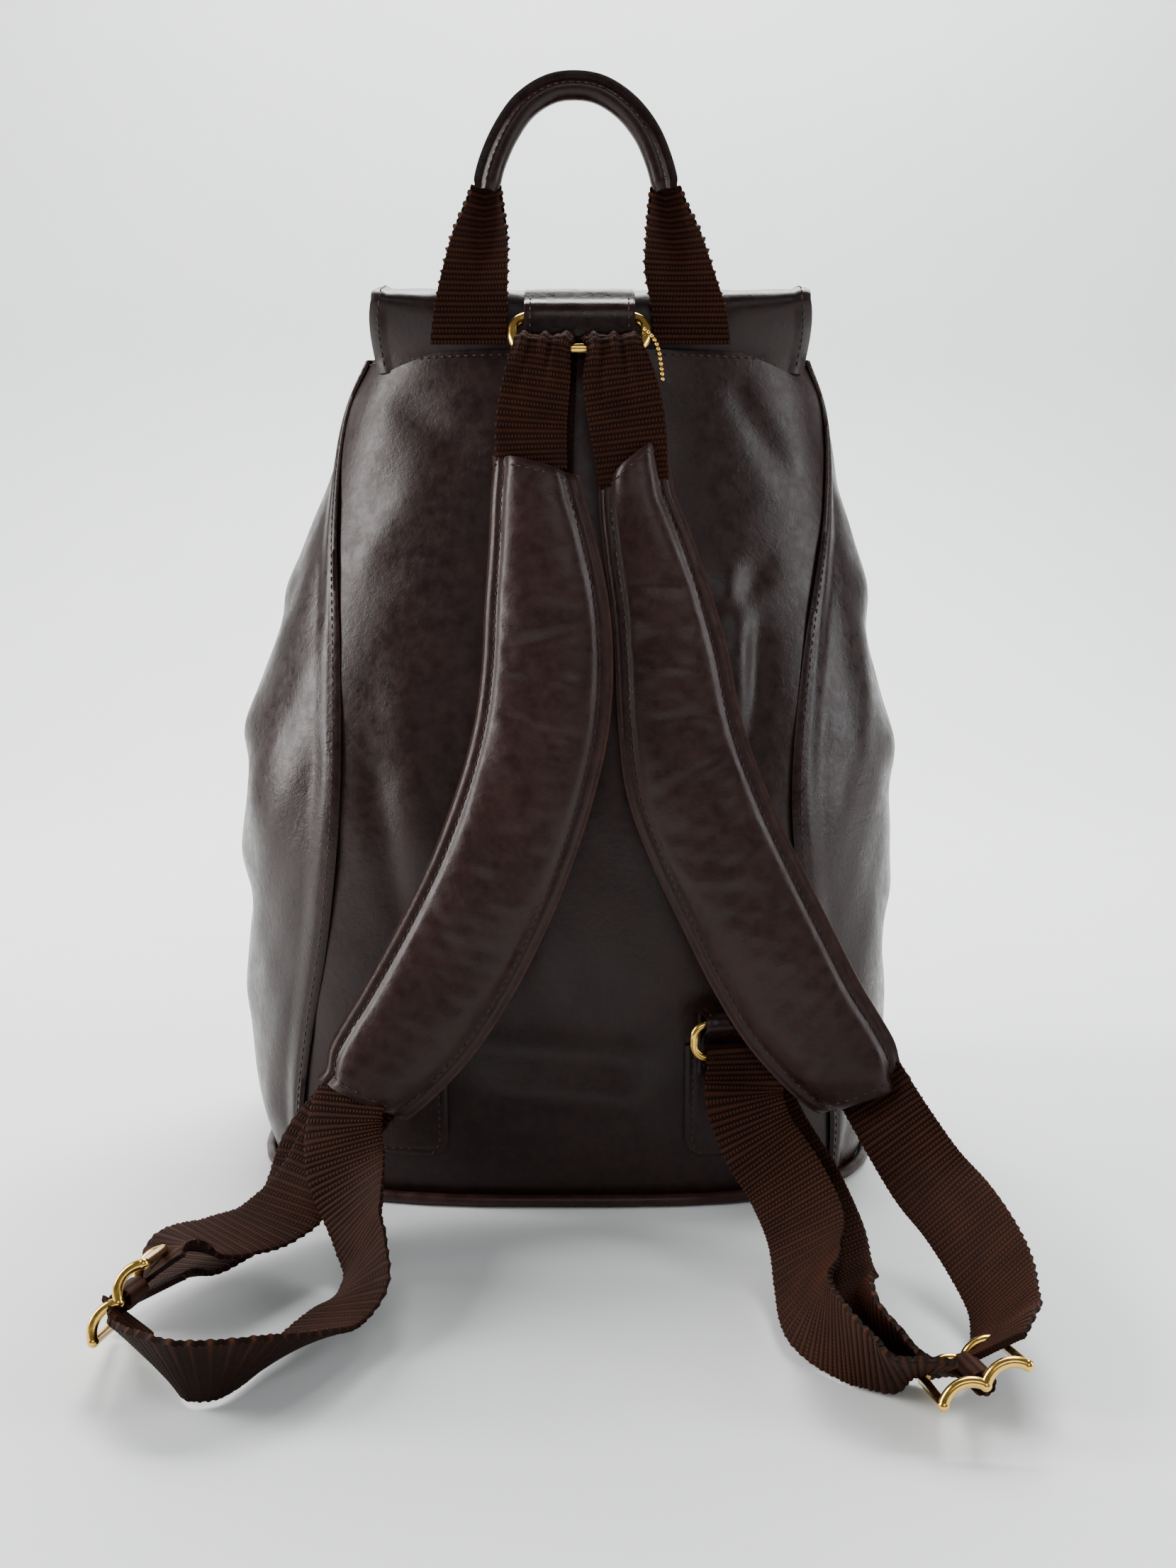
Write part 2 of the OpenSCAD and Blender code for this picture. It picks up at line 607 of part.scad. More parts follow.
// Webbing folded round the slider's middle bar
module wrap_shape() {
    rotate([0, 90, 0])
        difference() {
            cylinder(h = 2 * web_hw, r = bar_r + 0.3 + web_t, center = true, $fn = 48);
            cylinder(h = 2 * web_hw + 2, r = bar_r + 0.3, center = true, $fn = 48);
        }
}
module left_slider_wrap() {
    color(web) place_slider(SLIDE_L) wrap_shape();
}
module left_adjuster_webbing() {
    color(web) band(ADJ_L, WEB);
}
module left_adjuster_return() {
    color(web) band(ADJ_L2, WEB);
}
module low_place(s) {
    translate([s * low_x, low_y, low_z])
        rotate([0, 0, s * low_turn])
            children();
}
module low_ring() {
    wire_ring(low_hw, low_drop, low_wire_r, 4.5);
}
// Leather loop that holds the ring's upper bar
module low_loop() {
    difference() {
        rotate([90, 0, 90])
            linear_extrude(height = 27, center = true)
                polygon([[8.4, 3.8], [8.4, -20], [6.6, -20], [4.6, -10], [0, -4.2],
                    [-3, -3], [-4.2, 0], [-3, 3], [0, 4.2]]);
        rotate([0, 90, 0])
            cylinder(h = 40, r = low_wire_r + 0.6, center = true, $fn = 48);
    }
}
PATCH_ROWS = [19, 20.5, 23, 27, 35, 45, 55, 62];
function patch_half(z) = 18.5 - (z < 27 ? 8 - sqrt(64 - pow(27 - z, 2)) : 0);
module patch(s) {
    cols = 10;
    rows = [for (d = [2.1, 0.15]) [for (z = PATCH_ROWS) [for (j = [0:cols])
        let (x = s * 61.5 + patch_half(z) * (2 * j / cols - 1)) [x, back_y(x, z, d), z]]]];
    thick_sheet(rows[0], rows[1]);
}
module left_lower_ring() {
    color(brass) low_place(-1) low_ring();
}
module left_ring_loop() {
    color(dark) low_place(-1) low_loop();
}
module left_patch() {
    color(leather) patch(-1);
}

module right_upper_webbing() {
    color(web) band(UPPER_R, WEB, 3);
}
module right_pad_front() {
    color(leather) band(PAD_R, PAD_FRONT, 2);
}
module right_pad_foam() {
    color([0.75, 0.72, 0.62]) band(PAD_R, PAD_FOAM, 2);
}
module right_pad_back() {
    color(dark) band(PAD_R, PAD_BACK, 2);
}
module right_lower_webbing() {
    color(web) band(LOWER_R, WEB);
}
module right_slider() {
    color(brass) place_slider(SLIDE_R) slider_shape();
}
module right_slider_wrap() {
    color(web) place_slider(SLIDE_R) wrap_shape();
}
module right_adjuster_webbing() {
    color(web) band(ADJ_R, WEB);
}
module right_adjuster_return() {
    color(web) band(ADJ_R2, WEB);
}
module right_lower_ring() {
    color(brass) low_place(1) low_ring();
}
module right_ring_loop() {
    color(dark) low_place(1) low_loop();
}
module right_patch() {
    color(leather) patch(1);
}

// Short ball chain hanging beside the right webbing
CHAIN = [
    [27.5, -80.6, 315.2], [29.6, -81.6, 313.4], [31.2, -82.4, 311.2], [32.2, -83, 308.8],
    [32.8, -83.4, 306.4], [33.2, -83.6, 304], [33.5, -83.8, 301.6], [33.8, -84, 299.2],
    [34, -84, 296.8]
];
module ball_chain() {
    color(brass) {
        for (p = CHAIN)
            translate(p) sphere(r = 0.8, $fn = 10);
        for (i = [0:len(CHAIN) - 2]) {
            d = CHAIN[i + 1] - CHAIN[i];
            translate(CHAIN[i])
                rotate([0, acos(d[2] / norm(d)), atan2(d[1], d[0])])
                    cylinder(h = norm(d), r = 0.3, $fn = 6);
        }
    }
}

base_panel();
base_board();
base_welt();
back_panel();
front_panel();
gusset_left();
gusset_right();
seam_back_left();
seam_back_right();
seam_front_left();
seam_front_right();
mouth_eyelets();
flap_back();
flap();
flap_lining();
strap_tongue();
buckle_frame();
buckle_prong();
strap_keeper();
snap_stud();
snap_socket();
ring_tab();
upper_ring();
handle_webbing_left();
handle_webbing_right();
handle_grip();
handle_core();
left_upper_webbing();
left_pad_front();
left_pad_foam();
left_pad_back();
left_lower_webbing();
left_slider();
left_slider_wrap();
left_adjuster_webbing();
left_adjuster_return();
left_lower_ring();
left_ring_loop();
left_patch();
right_upper_webbing();
right_pad_front();
right_pad_foam();
right_pad_back();
right_lower_webbing();
right_slider();
right_slider_wrap();
right_adjuster_webbing();
right_adjuster_return();
right_lower_ring();
right_ring_loop();
right_patch();
ball_chain();
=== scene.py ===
# %% [markdown]
# # A leather backpack, seen from the side that meets the wearer's back
#
# This lesson dresses a CAD frame. The frame gives every size and every joint,
# and Blender gives the leather, the woven webbing, the brass and the stitches.
# The first three lines load the frame. Everything after them is placed from it.

# %% Load the frame
import math
import bpy
import numpy as np
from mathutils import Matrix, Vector


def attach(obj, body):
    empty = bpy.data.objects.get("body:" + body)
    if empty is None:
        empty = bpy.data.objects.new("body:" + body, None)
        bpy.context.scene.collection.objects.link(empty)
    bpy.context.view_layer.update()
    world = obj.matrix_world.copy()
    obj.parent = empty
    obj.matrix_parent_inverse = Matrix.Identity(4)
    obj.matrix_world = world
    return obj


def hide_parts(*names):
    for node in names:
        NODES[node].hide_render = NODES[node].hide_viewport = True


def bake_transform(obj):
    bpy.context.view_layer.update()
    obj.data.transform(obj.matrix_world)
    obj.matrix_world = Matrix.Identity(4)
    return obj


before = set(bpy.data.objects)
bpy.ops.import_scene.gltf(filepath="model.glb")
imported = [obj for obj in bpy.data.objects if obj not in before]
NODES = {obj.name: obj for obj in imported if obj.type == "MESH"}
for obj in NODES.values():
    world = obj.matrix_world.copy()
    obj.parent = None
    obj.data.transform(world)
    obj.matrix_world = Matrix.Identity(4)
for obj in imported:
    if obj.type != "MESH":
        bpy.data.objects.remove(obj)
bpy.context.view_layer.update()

MM = 0.001

# %% [markdown]
# ## Camera and light
#
# The bag is seen from close by, a little above its middle, so the lens is fairly wide
# and tips down by less than eight degrees. Soft goods want big lamps: a large one
# on the left and above draws the long highlights on smooth leather, a weaker one on the
# right keeps the dark brown readable, and a pale room fills the rest.

# %% Camera
cam_data = bpy.data.cameras.new("camera")
cam_data.lens = 35.8
cam_data.sensor_width = 36.0
camera = bpy.data.objects.new("camera", cam_data)
camera.location = (0.008, -0.640, 0.230)
camera.rotation_euler = (math.radians(90 - 7.6), 0, 0)
bpy.context.scene.collection.objects.link(camera)
bpy.context.scene.camera = camera
print("camera at", tuple(round(v, 3) for v in camera.location))


# %% Lamps and the pale room
def soft_lamp(name, place, aim, size, watts, tint):
    data = bpy.data.lights.new(name, "AREA")
    data.shape = "RECTANGLE"
    data.size, data.size_y = size
    data.energy = watts
    data.color = tint
    lamp = bpy.data.objects.new(name, data)
    lamp.location = place
    way = Vector(aim) - Vector(place)
    lamp.rotation_euler = way.to_track_quat("-Z", "Y").to_euler()
    bpy.context.scene.collection.objects.link(lamp)


soft_lamp("window_left", (-1.5, -0.12, 0.8), (0, 0, 0.2), (0.6, 1.3), 46, (1.0, 0.98, 0.96))
soft_lamp("ceiling", (0.1, 0.85, 1.6), (0, 0, 0.05), (1.4, 0.9), 78, (1.0, 0.99, 0.97))
soft_lamp("window_right", (1.5, -0.3, 0.7), (0, 0, 0.2), (0.6, 1.2), 17, (0.97, 0.98, 1.0))
soft_lamp("front_card", (0.2, -1.6, 1.1), (0, 0, 0.2), (1.0, 0.6), 6, (1.0, 1.0, 1.0))
soft_lamp("sweep_light", (0.0, 0.9, 1.9), (0, 1.2, 0.5), (2.4, 0.8), 9, (0.97, 1.0, 1.0))

world = bpy.data.worlds.new("pale_room")
world.use_nodes = True
world.node_tree.nodes["Background"].inputs["Color"].default_value = (0.80, 0.83, 0.85, 1)
world.node_tree.nodes["Background"].inputs["Strength"].default_value = 0.18
bpy.context.scene.world = world

# %% [markdown]
# ## Small helpers
#
# A material is a list of nodes, so one function adds a node with its settings and
# links. A hex colour is what an artist reads off a swatch, and the shader wants linear
# light, so one more function turns it.


# %% Colour and node helpers
def linear(hex_code):
    parts = [int(hex_code[i:i + 2], 16) / 255 for i in (1, 3, 5)]
    return [c / 12.92 if c <= 0.04045 else ((c + 0.055) / 1.055) ** 2.4
            for c in parts] + [1.0]


def add_node(tree, kind, settings=None, links=None):
    node = tree.nodes.new(kind)
    for key, value in (settings or {}).items():
        if isinstance(key, int) or key in node.inputs.keys():
            node.inputs[key].default_value = value
        else:
            setattr(node, key, value)
    for key, source in (links or {}).items():
        tree.links.new(source, node.inputs[key])
    return node


def scale_for(size_mm):
    """Texture scale that makes one cell about size_mm wide on metre coordinates."""
    return 1.0 / (size_mm * MM)


def start_material(name, settings):
    mat = bpy.data.materials.new(name)
    mat.use_nodes = True
    tree = mat.node_tree
    shader = tree.nodes["Principled BSDF"]
    for key, value in settings.items():
        shader.inputs[key].default_value = value
    return mat, tree, shader


# %% [markdown]
# ## Materials
#
# **Smooth cowhide, dyed through and waxed.** The dye makes it a very dark red-brown, the
# wax gives a satin sheen that breaks over fine pores. Three scales show: a slow
# drift of colour over centimetres, soft creases over millimetres, and pores under a
# millimetre. One recipe makes every leather piece, and only its tone changes.


# %% Leather recipe
def make_leather(name, dark, light, roughness, pore_mm=0.9, crease=0.35, wear=None):
    mat, tree, shader = start_material(name, {
        "Specular IOR Level": 0.22, "Coat Weight": 0.03, "Coat Roughness": 0.25})
    place = add_node(tree, "ShaderNodeTexCoord").outputs["Object"]
    drift = add_node(tree, "ShaderNodeTexNoise",
                     {"Scale": scale_for(38), "Detail": 4.0, "Roughness": 0.6},
                     {"Vector": place})
    mottle = add_node(tree, "ShaderNodeTexNoise",
                      {"Scale": scale_for(5), "Detail": 5.0, "Roughness": 0.62},
                      {"Vector": place})
    both = add_node(tree, "ShaderNodeMath", {"operation": "MULTIPLY_ADD", 1: 0.55},
                    {0: drift.outputs["Fac"], 2: mottle.outputs["Fac"]})
    tone = add_node(tree, "ShaderNodeMapRange",
                    {"From Min": 0.55, "From Max": 0.98}, {"Value": both.outputs[0]})
    colour = add_node(tree, "ShaderNodeMix", {"data_type": "RGBA"},
                      {0: tone.outputs[0]})
    colour.inputs[6].default_value = linear(dark)
    colour.inputs[7].default_value = linear(light)
    last_colour = colour.outputs[2]
    if wear:
        rub = add_node(tree, "ShaderNodeTexNoise",
                       {"Scale": scale_for(16), "Detail": 7.0, "Roughness": 0.72},
                       {"Vector": place})
        patch = add_node(tree, "ShaderNodeMapRange",
                         {"From Min": 0.70, "From Max": 0.80, "To Max": 0.4},
                         {"Value": rub.outputs["Fac"]})
        worn = add_node(tree, "ShaderNodeMix", {"data_type": "RGBA"},
                        {0: patch.outputs[0], 6: last_colour})
        worn.inputs[7].default_value = linear(wear)
        last_colour = worn.outputs[2]
    tree.links.new(last_colour, shader.inputs["Base Color"])
    gloss = add_node(tree, "ShaderNodeMapRange",
                     {"From Min": 0.35, "From Max": 0.7,
                      "To Min": roughness - 0.06, "To Max": roughness + 0.1},
                     {"Value": mottle.outputs["Fac"]})
    tree.links.new(gloss.outputs[0], shader.inputs["Roughness"])
    pores = add_node(tree, "ShaderNodeTexVoronoi",
                     {"Scale": scale_for(pore_mm), "Randomness": 1.0}, {"Vector": place})
    fine = add_node(tree, "ShaderNodeBump", {"Strength": 0.22, "Distance": 0.00012},
                    {"Height": pores.outputs["Distance"]})
    lines = add_node(tree, "ShaderNodeTexNoise",
                     {"Scale": scale_for(2.6), "Detail": 6.0, "Roughness": 0.6,
                      "Distortion": 0.4}, {"Vector": place})
    soft = add_node(tree, "ShaderNodeBump", {"Strength": crease, "Distance": 0.0006},
                    {"Height": lines.outputs["Fac"], "Normal": fine.outputs["Normal"]})
    tree.links.new(soft.outputs["Normal"], shader.inputs["Normal"])
    return mat


LEATHER = {
    "hide_body": make_leather("hide_body", "#190c0b", "#261412", 0.38, crease=0.28),
    "hide_gusset": make_leather("hide_gusset", "#170a09", "#251311", 0.31, crease=0.32),
    "hide_pad": make_leather("hide_pad", "#21110f", "#2e1a17", 0.38, crease=0.24,
                             wear="#4a2a20"),
    "hide_flap": make_leather("hide_flap", "#150908", "#200f0d", 0.42, crease=0.3),
    "hide_trim": make_leather("hide_trim", "#160807", "#22100e", 0.31, crease=0.2),
    "hide_welt": make_leather("hide_welt", "#231210", "#331c18", 0.4, crease=0.2),
    "hide_edge": make_leather("hide_edge", "#33201c", "#4a3029", 0.5, crease=0.3),
}
print("leathers:", ", ".join(LEATHER))

# %% [markdown]
# ** Nylon webbing.** It is woven in ribs with small knuckles, and that relief is real
# geometry further down. The colour reads one attribute that each webbing piece
# carries, how high the surface stands in its ribs, and paints the low gaps darker as
# painted shade; a noise adds a slow wander of the dye along its length.


# %% Webbing material
def make_webbing():
    mat, tree, shader = start_material("nylon_webbing", {
        "Specular IOR Level": 0.07, "Roughness": 0.65})
    place = add_node(tree, "ShaderNodeTexCoord").outputs["Object"]
    high = add_node(tree, "ShaderNodeAttribute", {"attribute_name": "weave_shade"})
    dye = add_node(tree, "ShaderNodeTexNoise",
                   {"Scale": scale_for(12), "Detail": 5.0}, {"Vector": place})
    mix = add_node(tree, "ShaderNodeMath", {"operation": "MULTIPLY_ADD", 1: 0.45, 2: -0.2},
                   {0: dye.outputs["Fac"]})
    level = add_node(tree, "ShaderNodeMath", {"operation": "ADD", "use_clamp": True},
                     {0: high.outputs["Fac"], 1: mix.outputs[0]})
    # The ramp paints shade: low gaps between ribs and knuckles go dark and high tops go lighter,
    # with the dye's own wander mixed in.
    ramp = add_node(tree, "ShaderNodeValToRGB", {}, {"Fac": level.outputs[0]})
    ramp.color_ramp.elements[0].color = linear("#0a0402")
    ramp.color_ramp.elements[1].color = linear("#3b1e11")
    middle = ramp.color_ramp.elements.new(0.5)
    middle.color = linear("#1d0d07")
    tree.links.new(ramp.outputs["Color"], shader.inputs["Base Color"])
    twist = add_node(tree, "ShaderNodeTexNoise",
                     {"Scale": scale_for(0.5), "Detail": 2.0}, {"Vector": place})
    bump = add_node(tree, "ShaderNodeBump", {"Strength": 0.25, "Distance": 0.00015},
                    {"Height": twist.outputs["Fac"]})
    tree.links.new(bump.outputs["Normal"], shader.inputs["Normal"])
    return mat


WEBBING = make_webbing()

# %% [markdown]
# **Cast and polished brass.** Its colour is the metal's own reflection, so the base
# colour is a light gold and the metallic value is one. Handling leaves faint
# scratches and duller hollows, which the roughness carries.


# %% Brass, thread and the hidden materials
def make_brass(name, colour, roughness):
    mat, tree, shader = start_material(name, {
        "Base Color": linear(colour), "Metallic": 1.0})
    place = add_node(tree, "ShaderNodeTexCoord").outputs["Object"]
    dull = add_node(tree, "ShaderNodeTexNoise",
                    {"Scale": scale_for(3), "Detail": 6.0, "Roughness": 0.7},
                    {"Vector": place})
    rough = add_node(tree, "ShaderNodeMapRange",
                     {"From Min": 0.3, "From Max": 0.75,
                      "To Min": roughness - 0.05, "To Max": roughness + 0.14},
                     {"Value": dull.outputs["Fac"]})
    tree.links.new(rough.outputs[0], shader.inputs["Roughness"])
    bump = add_node(tree, "ShaderNodeBump", {"Strength": 0.12, "Distance": 0.0002},
                    {"Height": dull.outputs["Fac"]})
    tree.links.new(bump.outputs["Normal"], shader.inputs["Normal"])
    return mat


def make_cloth(name, dark, light, thread_mm, roughness):
    """Plain-woven cloth, painted board and thread: two tones in crossed waves."""
    mat, tree, shader = start_material(name, {"Roughness": roughness,
                                              "Specular IOR Level": 0.3})
    place = add_node(tree, "ShaderNodeTexCoord").outputs["Object"]
    waves = [add_node(tree, "ShaderNodeTexWave",
                      {"Scale": scale_for(thread_mm) / 6.28, "Distortion": 1.2,
                       "bands_direction": way}, {"Vector": place})
             for way in ("X", "Z")]
    cross = add_node(tree, "ShaderNodeMath", {"operation": "MULTIPLY"},
                     {0: waves[0].outputs["Fac"], 1: waves[1].outputs["Fac"]})
    colour = add_node(tree, "ShaderNodeMix", {"data_type": "RGBA"},
                      {0: cross.outputs[0]})
    colour.inputs[6].default_value = linear(dark)
    colour.inputs[7].default_value = linear(light)
    tree.links.new(colour.outputs[2], shader.inputs["Base Color"])
    bump = add_node(tree, "ShaderNodeBump", {"Strength": 0.4, "Distance": 0.0002},
                    {"Height": cross.outputs[0]})
    tree.links.new(bump.outputs["Normal"], shader.inputs["Normal"])
    return mat


BRASS = make_brass("polished_brass", "#e2b65c", 0.17)
THREAD = make_cloth("waxed_thread", "#1c0f0d", "#4a2a23", 0.5, 0.5)
LINING = make_cloth("lining_cloth", "#4b3c33", "#6b584b", 0.8, 0.9)
BOARD = make_cloth("stiffening_board", "#8a7452", "#a98f68", 1.5, 0.85)
CORE = make_cloth("rope_core", "#b7a98c", "#d6cbb2", 1.0, 0.9)

# %% [markdown]
# ## Shaping helpers
#
# Nearly every piece is a sheet: hide, webbing or a folded strap. A sheet starts as
# Blender's grid primitive, and each of its points is then laid where the sheet
# passes. Solidify gives it its thickness. Where a solid primitive is nearer, such as
# a torus for the piping or a sphere for a stitch, that is used instead.


# %% Sheet helpers
def nothing_selected():
    if bpy.context.object and bpy.context.object.mode != "OBJECT":
        bpy.ops.object.mode_set(mode="OBJECT")
    bpy.ops.object.select_all(action="DESELECT")


def take(obj):
    nothing_selected()
    obj.select_set(True)
    bpy.context.view_layer.objects.active = obj
    return obj


def get_points(obj):
    co = np.empty(len(obj.data.vertices) * 3)
    obj.data.vertices.foreach_get("co", co)
    return co.reshape(-1, 3)


def set_points(obj, points_mm):
    obj.data.vertices.foreach_set("co", (np.asarray(points_mm) * MM).ravel())
    obj.data.update()


def apply_modifier(obj, name, kind, **settings):
    take(obj)
    mod = obj.modifiers.new(name, kind)
    for key, value in settings.items():
        setattr(mod, key, value)
    bpy.ops.object.modifier_apply(modifier=name)


def lay_sheet(name, across, along, place, thick, height=None, side=-1.0):
    """A grid primitive whose points are put at place(u, v), then thickened inwards."""
    nothing_selected()
    bpy.ops.mesh.primitive_grid_add(x_subdivisions=across, y_subdivisions=along, size=2)
    obj = bpy.context.object
    obj.name = obj.data.name = name
    flat = get_points(obj)
    u, v = (flat[:, 0] + 1) / 2, (flat[:, 1] + 1) / 2
    points = place(u, v)
    if height is not None:
        # An optional height function is stored per point; the webbing colour reads it to paint
        # shade into the low gaps between the ribs.
        shade_mark = obj.data.attributes.new("weave_shade", "FLOAT", "POINT")
        shade_mark.data.foreach_set("value", height(u, v))
    set_points(obj, points)
    if thick:
        apply_modifier(obj, "thickness", "SOLIDIFY", thickness=thick * MM, offset=side)
    return obj


def dress(obj, material, body, replaces=()):
    """Smooth shading, one material, the body it rides on and the nodes it stands for."""
    take(obj)
    bpy.ops.object.shade_smooth_by_angle(angle=math.radians(50))
    obj.data.materials.clear()
    obj.data.materials.append(material)
    if body:
        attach(obj, body)
    if replaces:
        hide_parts(*replaces)
    print(obj.name, len(obj.data.polygons), "faces")
    return obj


# %% Route helpers
def route(stations, steps=12):
    """Smooth curve through rows of numbers, evenly re-spaced: rows and lengths in mm."""
    p = np.array(stations, float)
    p = np.vstack([2 * p[0] - p[1], p, 2 * p[-1] - p[-2]])
    t = np.linspace(0, 1, steps, endpoint=False)[:, None]
    parts = [0.5 * (2 * b + (c - a) * t + (2 * a - 5 * b + 4 * c - d) * t ** 2
                    + (3 * b - a - 3 * c + d) * t ** 3)
             for a, b, c, d in zip(p, p[1:], p[2:], p[3:])]
    line = np.vstack(parts + [p[-2:-1]])
    length = np.concatenate([[0], np.cumsum(
        np.linalg.norm(np.diff(line[:, :3], axis=0), axis=1))])
    return line, length


def at(line, length, s):
    return np.stack([np.interp(s, length, line[:, k]) for k in range(line.shape[1])], 1)


def unit(v):
    return v / np.linalg.norm(v, axis=-1, keepdims=True)


def band_frame(line, length, s):
    """Middle point, width direction, outward direction and half width at lengths s."""
    row = at(line, length, s)
    ahead = at(line, length, np.minimum(s + 0.6, length[-1]))
    behind = at(line, length, np.maximum(s - 0.6, 0))
    t = unit(ahead[:, :3] - behind[:, :3])
    w = row[:, 3:6]
    w = unit(w - np.sum(w * t, 1)[:, None] * t)
    return row[:, :3], w, np.cross(t, w), row[:, 6:7]


def ease(x):
    x = np.clip(x, 0, 1)
    return x * x * (3 - 2 * x)


def drift(a, b, wave, seed=0.0):
    """Slow unevenness from a few crossed waves, about -1 to 1."""
    k = 2 * math.pi / wave
    return (np.sin(k * a + 1.7 * seed) * np.sin(0.8 * k * b + 2.1 + seed)
            + 0.6 * np.sin(k * (0.7 * a + 1.3 * b) + 0.9 * seed + 4)
            + 0.5 * np.sin(k * (1.5 * a - 0.9 * b) + 2.3 * seed + 1)) / 1.7


def fold(a, z, start, end, width, depth):
    """A soft ridge (or valley, if depth is negative) between two points of a sheet."""
    (a0, z0), (a1, z1) = start, end
    dx, dz = a1 - a0, z1 - z0
    size = math.hypot(dx, dz)
    t = ((a - a0) * dx + (z - z0) * dz) / size ** 2
    off = ((a - a0) * dz - (z - z0) * dx) / size
    fade = ease((t + 0.15) / 0.4) * ease((1.15 - t) / 0.4)
    return depth * np.exp(-(off / width) ** 2) * fade


# %% [markdown]
# ## Stitches
#
# A stitch is a short, fat capsule of thread that sinks into the leather at both ends.
# One is modelled from a sphere, and it is then copied along each seam. All the
# stitches of one seam become one mesh, since there are hundreds of them.

# %% One stitch, and rows of it
nothing_selected()
bpy.ops.mesh.primitive_uv_sphere_add(segments=6, ring_count=4, radius=1)
stitch = bpy.context.object
STITCH_POINTS = get_points(stitch) * [1.05, 0.36, 0.34]
STITCH_FACES = [list(p.vertices) for p in stitch.data.polygons]
bpy.data.objects.remove(stitch)


def sew(name, rows, body, pitch=3.1, material=None, size=1.0):
    """rows: (points, outward directions) in mm; one stitch every pitch along each."""
    points, faces, made = [], [], 0
    for line, out in rows:
        line, out = np.asarray(line, float), np.asarray(out, float)
        length = np.concatenate([[0], np.cumsum(
            np.linalg.norm(np.diff(line, axis=0), axis=1))])
        count = max(int(length[-1] / pitch), 1)
        s = (np.arange(count) + 0.5) * length[-1] / count
        both = np.hstack([line, out])
        mid = at(both, length, s)
        t = unit(at(both, length, np.minimum(s + 0.5, length[-1]))[:, :3]
                 - at(both, length, np.maximum(s - 0.5, 0))[:, :3])
        n = unit(mid[:, 3:] - np.sum(mid[:, 3:] * t, 1)[:, None] * t)
        side = np.cross(n, t)
        for c, tt, ss, nn in zip(mid[:, :3], t, side, n):
            p = STITCH_POINTS * size
            points.append(c + p[:, :1] * tt + p[:, 1:2] * ss + p[:, 2:] * nn)
            faces += [[i + made for i in f] for f in STITCH_FACES]
            made += len(STITCH_POINTS)
    mesh = bpy.data.meshes.new(name)
    mesh.from_pydata((np.vstack(points) * MM).tolist(), [], faces)
    obj = bpy.data.objects.new(name, mesh)
    bpy.context.scene.collection.objects.link(obj)
    return dress(obj, material or THREAD, body)


# %% [markdown]
# ## The bag's walls
#
# The walls are four pieces of hide: a back, a front and two gussets. Their plan is a
# rounded rectangle at the base that closes to an oval at the mouth, and the top leans
# a little to one side, as a soft bag does. One function gives the wall at any height
# and angle, so neighbours always meet. Creases are added on top of it one by one, as
# ridges and valleys between two points: a real bag shows where it was grasped, where
# the mouth is gathered, and where its own weight makes it slump.

# %% The wall's shape
BODY = [
    [0, 118, 89, 0, 0, 3.2, 101], [30, 126, 92, 0, -1, 3.0, 101],
    [60, 129, 94, 0, -1, 2.8, 97], [100, 129, 94, 0, -2, 2.6, 90],
    [150, 130, 91, 0, -3, 2.5, 85], [200, 121, 82, 2, -5, 2.4, 87],
    [250, 106, 68, 5, -9, 2.3, 92], [290, 94, 56, 7, -12, 2.3, 91],
    [312, 86, 50, 8, -13, 2.3, 82],
]
BODY_LINE = route(BODY, 8)[0]
WALL_TOP = 311.0


def prof(z, k):
    return np.interp(z, BODY_LINE[:, 0], BODY_LINE[:, k])


def signed_power(v, e):
    return np.sign(v) * np.abs(v) ** e


def wall_point(z, angle, out):
    e = 2 / prof(z, 5)
    return np.stack([
        prof(z, 3) + (prof(z, 1) + out) * signed_power(np.cos(angle), e),
        prof(z, 4) + (prof(z, 2) + out) * signed_power(np.sin(angle), e), z], 1)


def seam_angle(z):
    return np.arccos((prof(z, 6) / prof(z, 1)) ** (prof(z, 5) / 2))


def back_y(x, z, out=0.0):
    n = prof(z, 5)
    r = np.abs(x - prof(z, 3)) / (prof(z, 1) + out)
    return prof(z, 4) - (prof(z, 2) + out) * (1 - np.clip(r, 0, 0.999) ** n) ** (1 / n)


# %% Creases of each wall
def back_creases(x, z):
    h = 0.55 * drift(x, z, 88, 1) + 0.14 * drift(x, z, 33, 5)
    h += fold(x, z, (58, 235), (62, 175), 7, 2.4) + fold(x, z, (70, 215), (66, 160), 5, -1.6)
    h += fold(x, z, (48, 205), (74, 235), 5, -1.2)
    h += fold(x, z, (-60, 200), (-48, 120), 9, 1.6) + fold(x, z, (-72, 170), (-58, 100), 6, -1.3)
    h += fold(x, z, (-40, 62), (38, 56), 7, -1.6) + fold(x, z, (-30, 44), (30, 40), 6, 1.3)
    h += fold(x, z, (-6, 150), (-2, 60), 9, 1.2) + fold(x, z, (10, 95), (24, 40), 6, -0.9)
    h += fold(x, z, (-66, 296), (-30, 268), 7, -1.2) + fold(x, z, (60, 300), (84, 262), 6, -1.3)
    h += fold(x, z, (-50, 262), (-78, 232), 9, 1.2)
    return h * ease((z - 4) / 20) * ease((312 - z) / 14)


def gusset_creases(a, z, seed):
    """a is the distance in mm from the middle of the gusset."""
    h = 0.9 * drift(a, z, 96, seed) + 0.18 * drift(a, z, 37, seed + 3)
    for z0, tilt, width, depth in GUSSET_FOLDS[seed > 4]:
        h += fold(a, z, (-40, z0 - tilt), (40, z0 + tilt), width, depth)
    return h * ease((z - 4) / 22) * ease((313 - z) / 16)


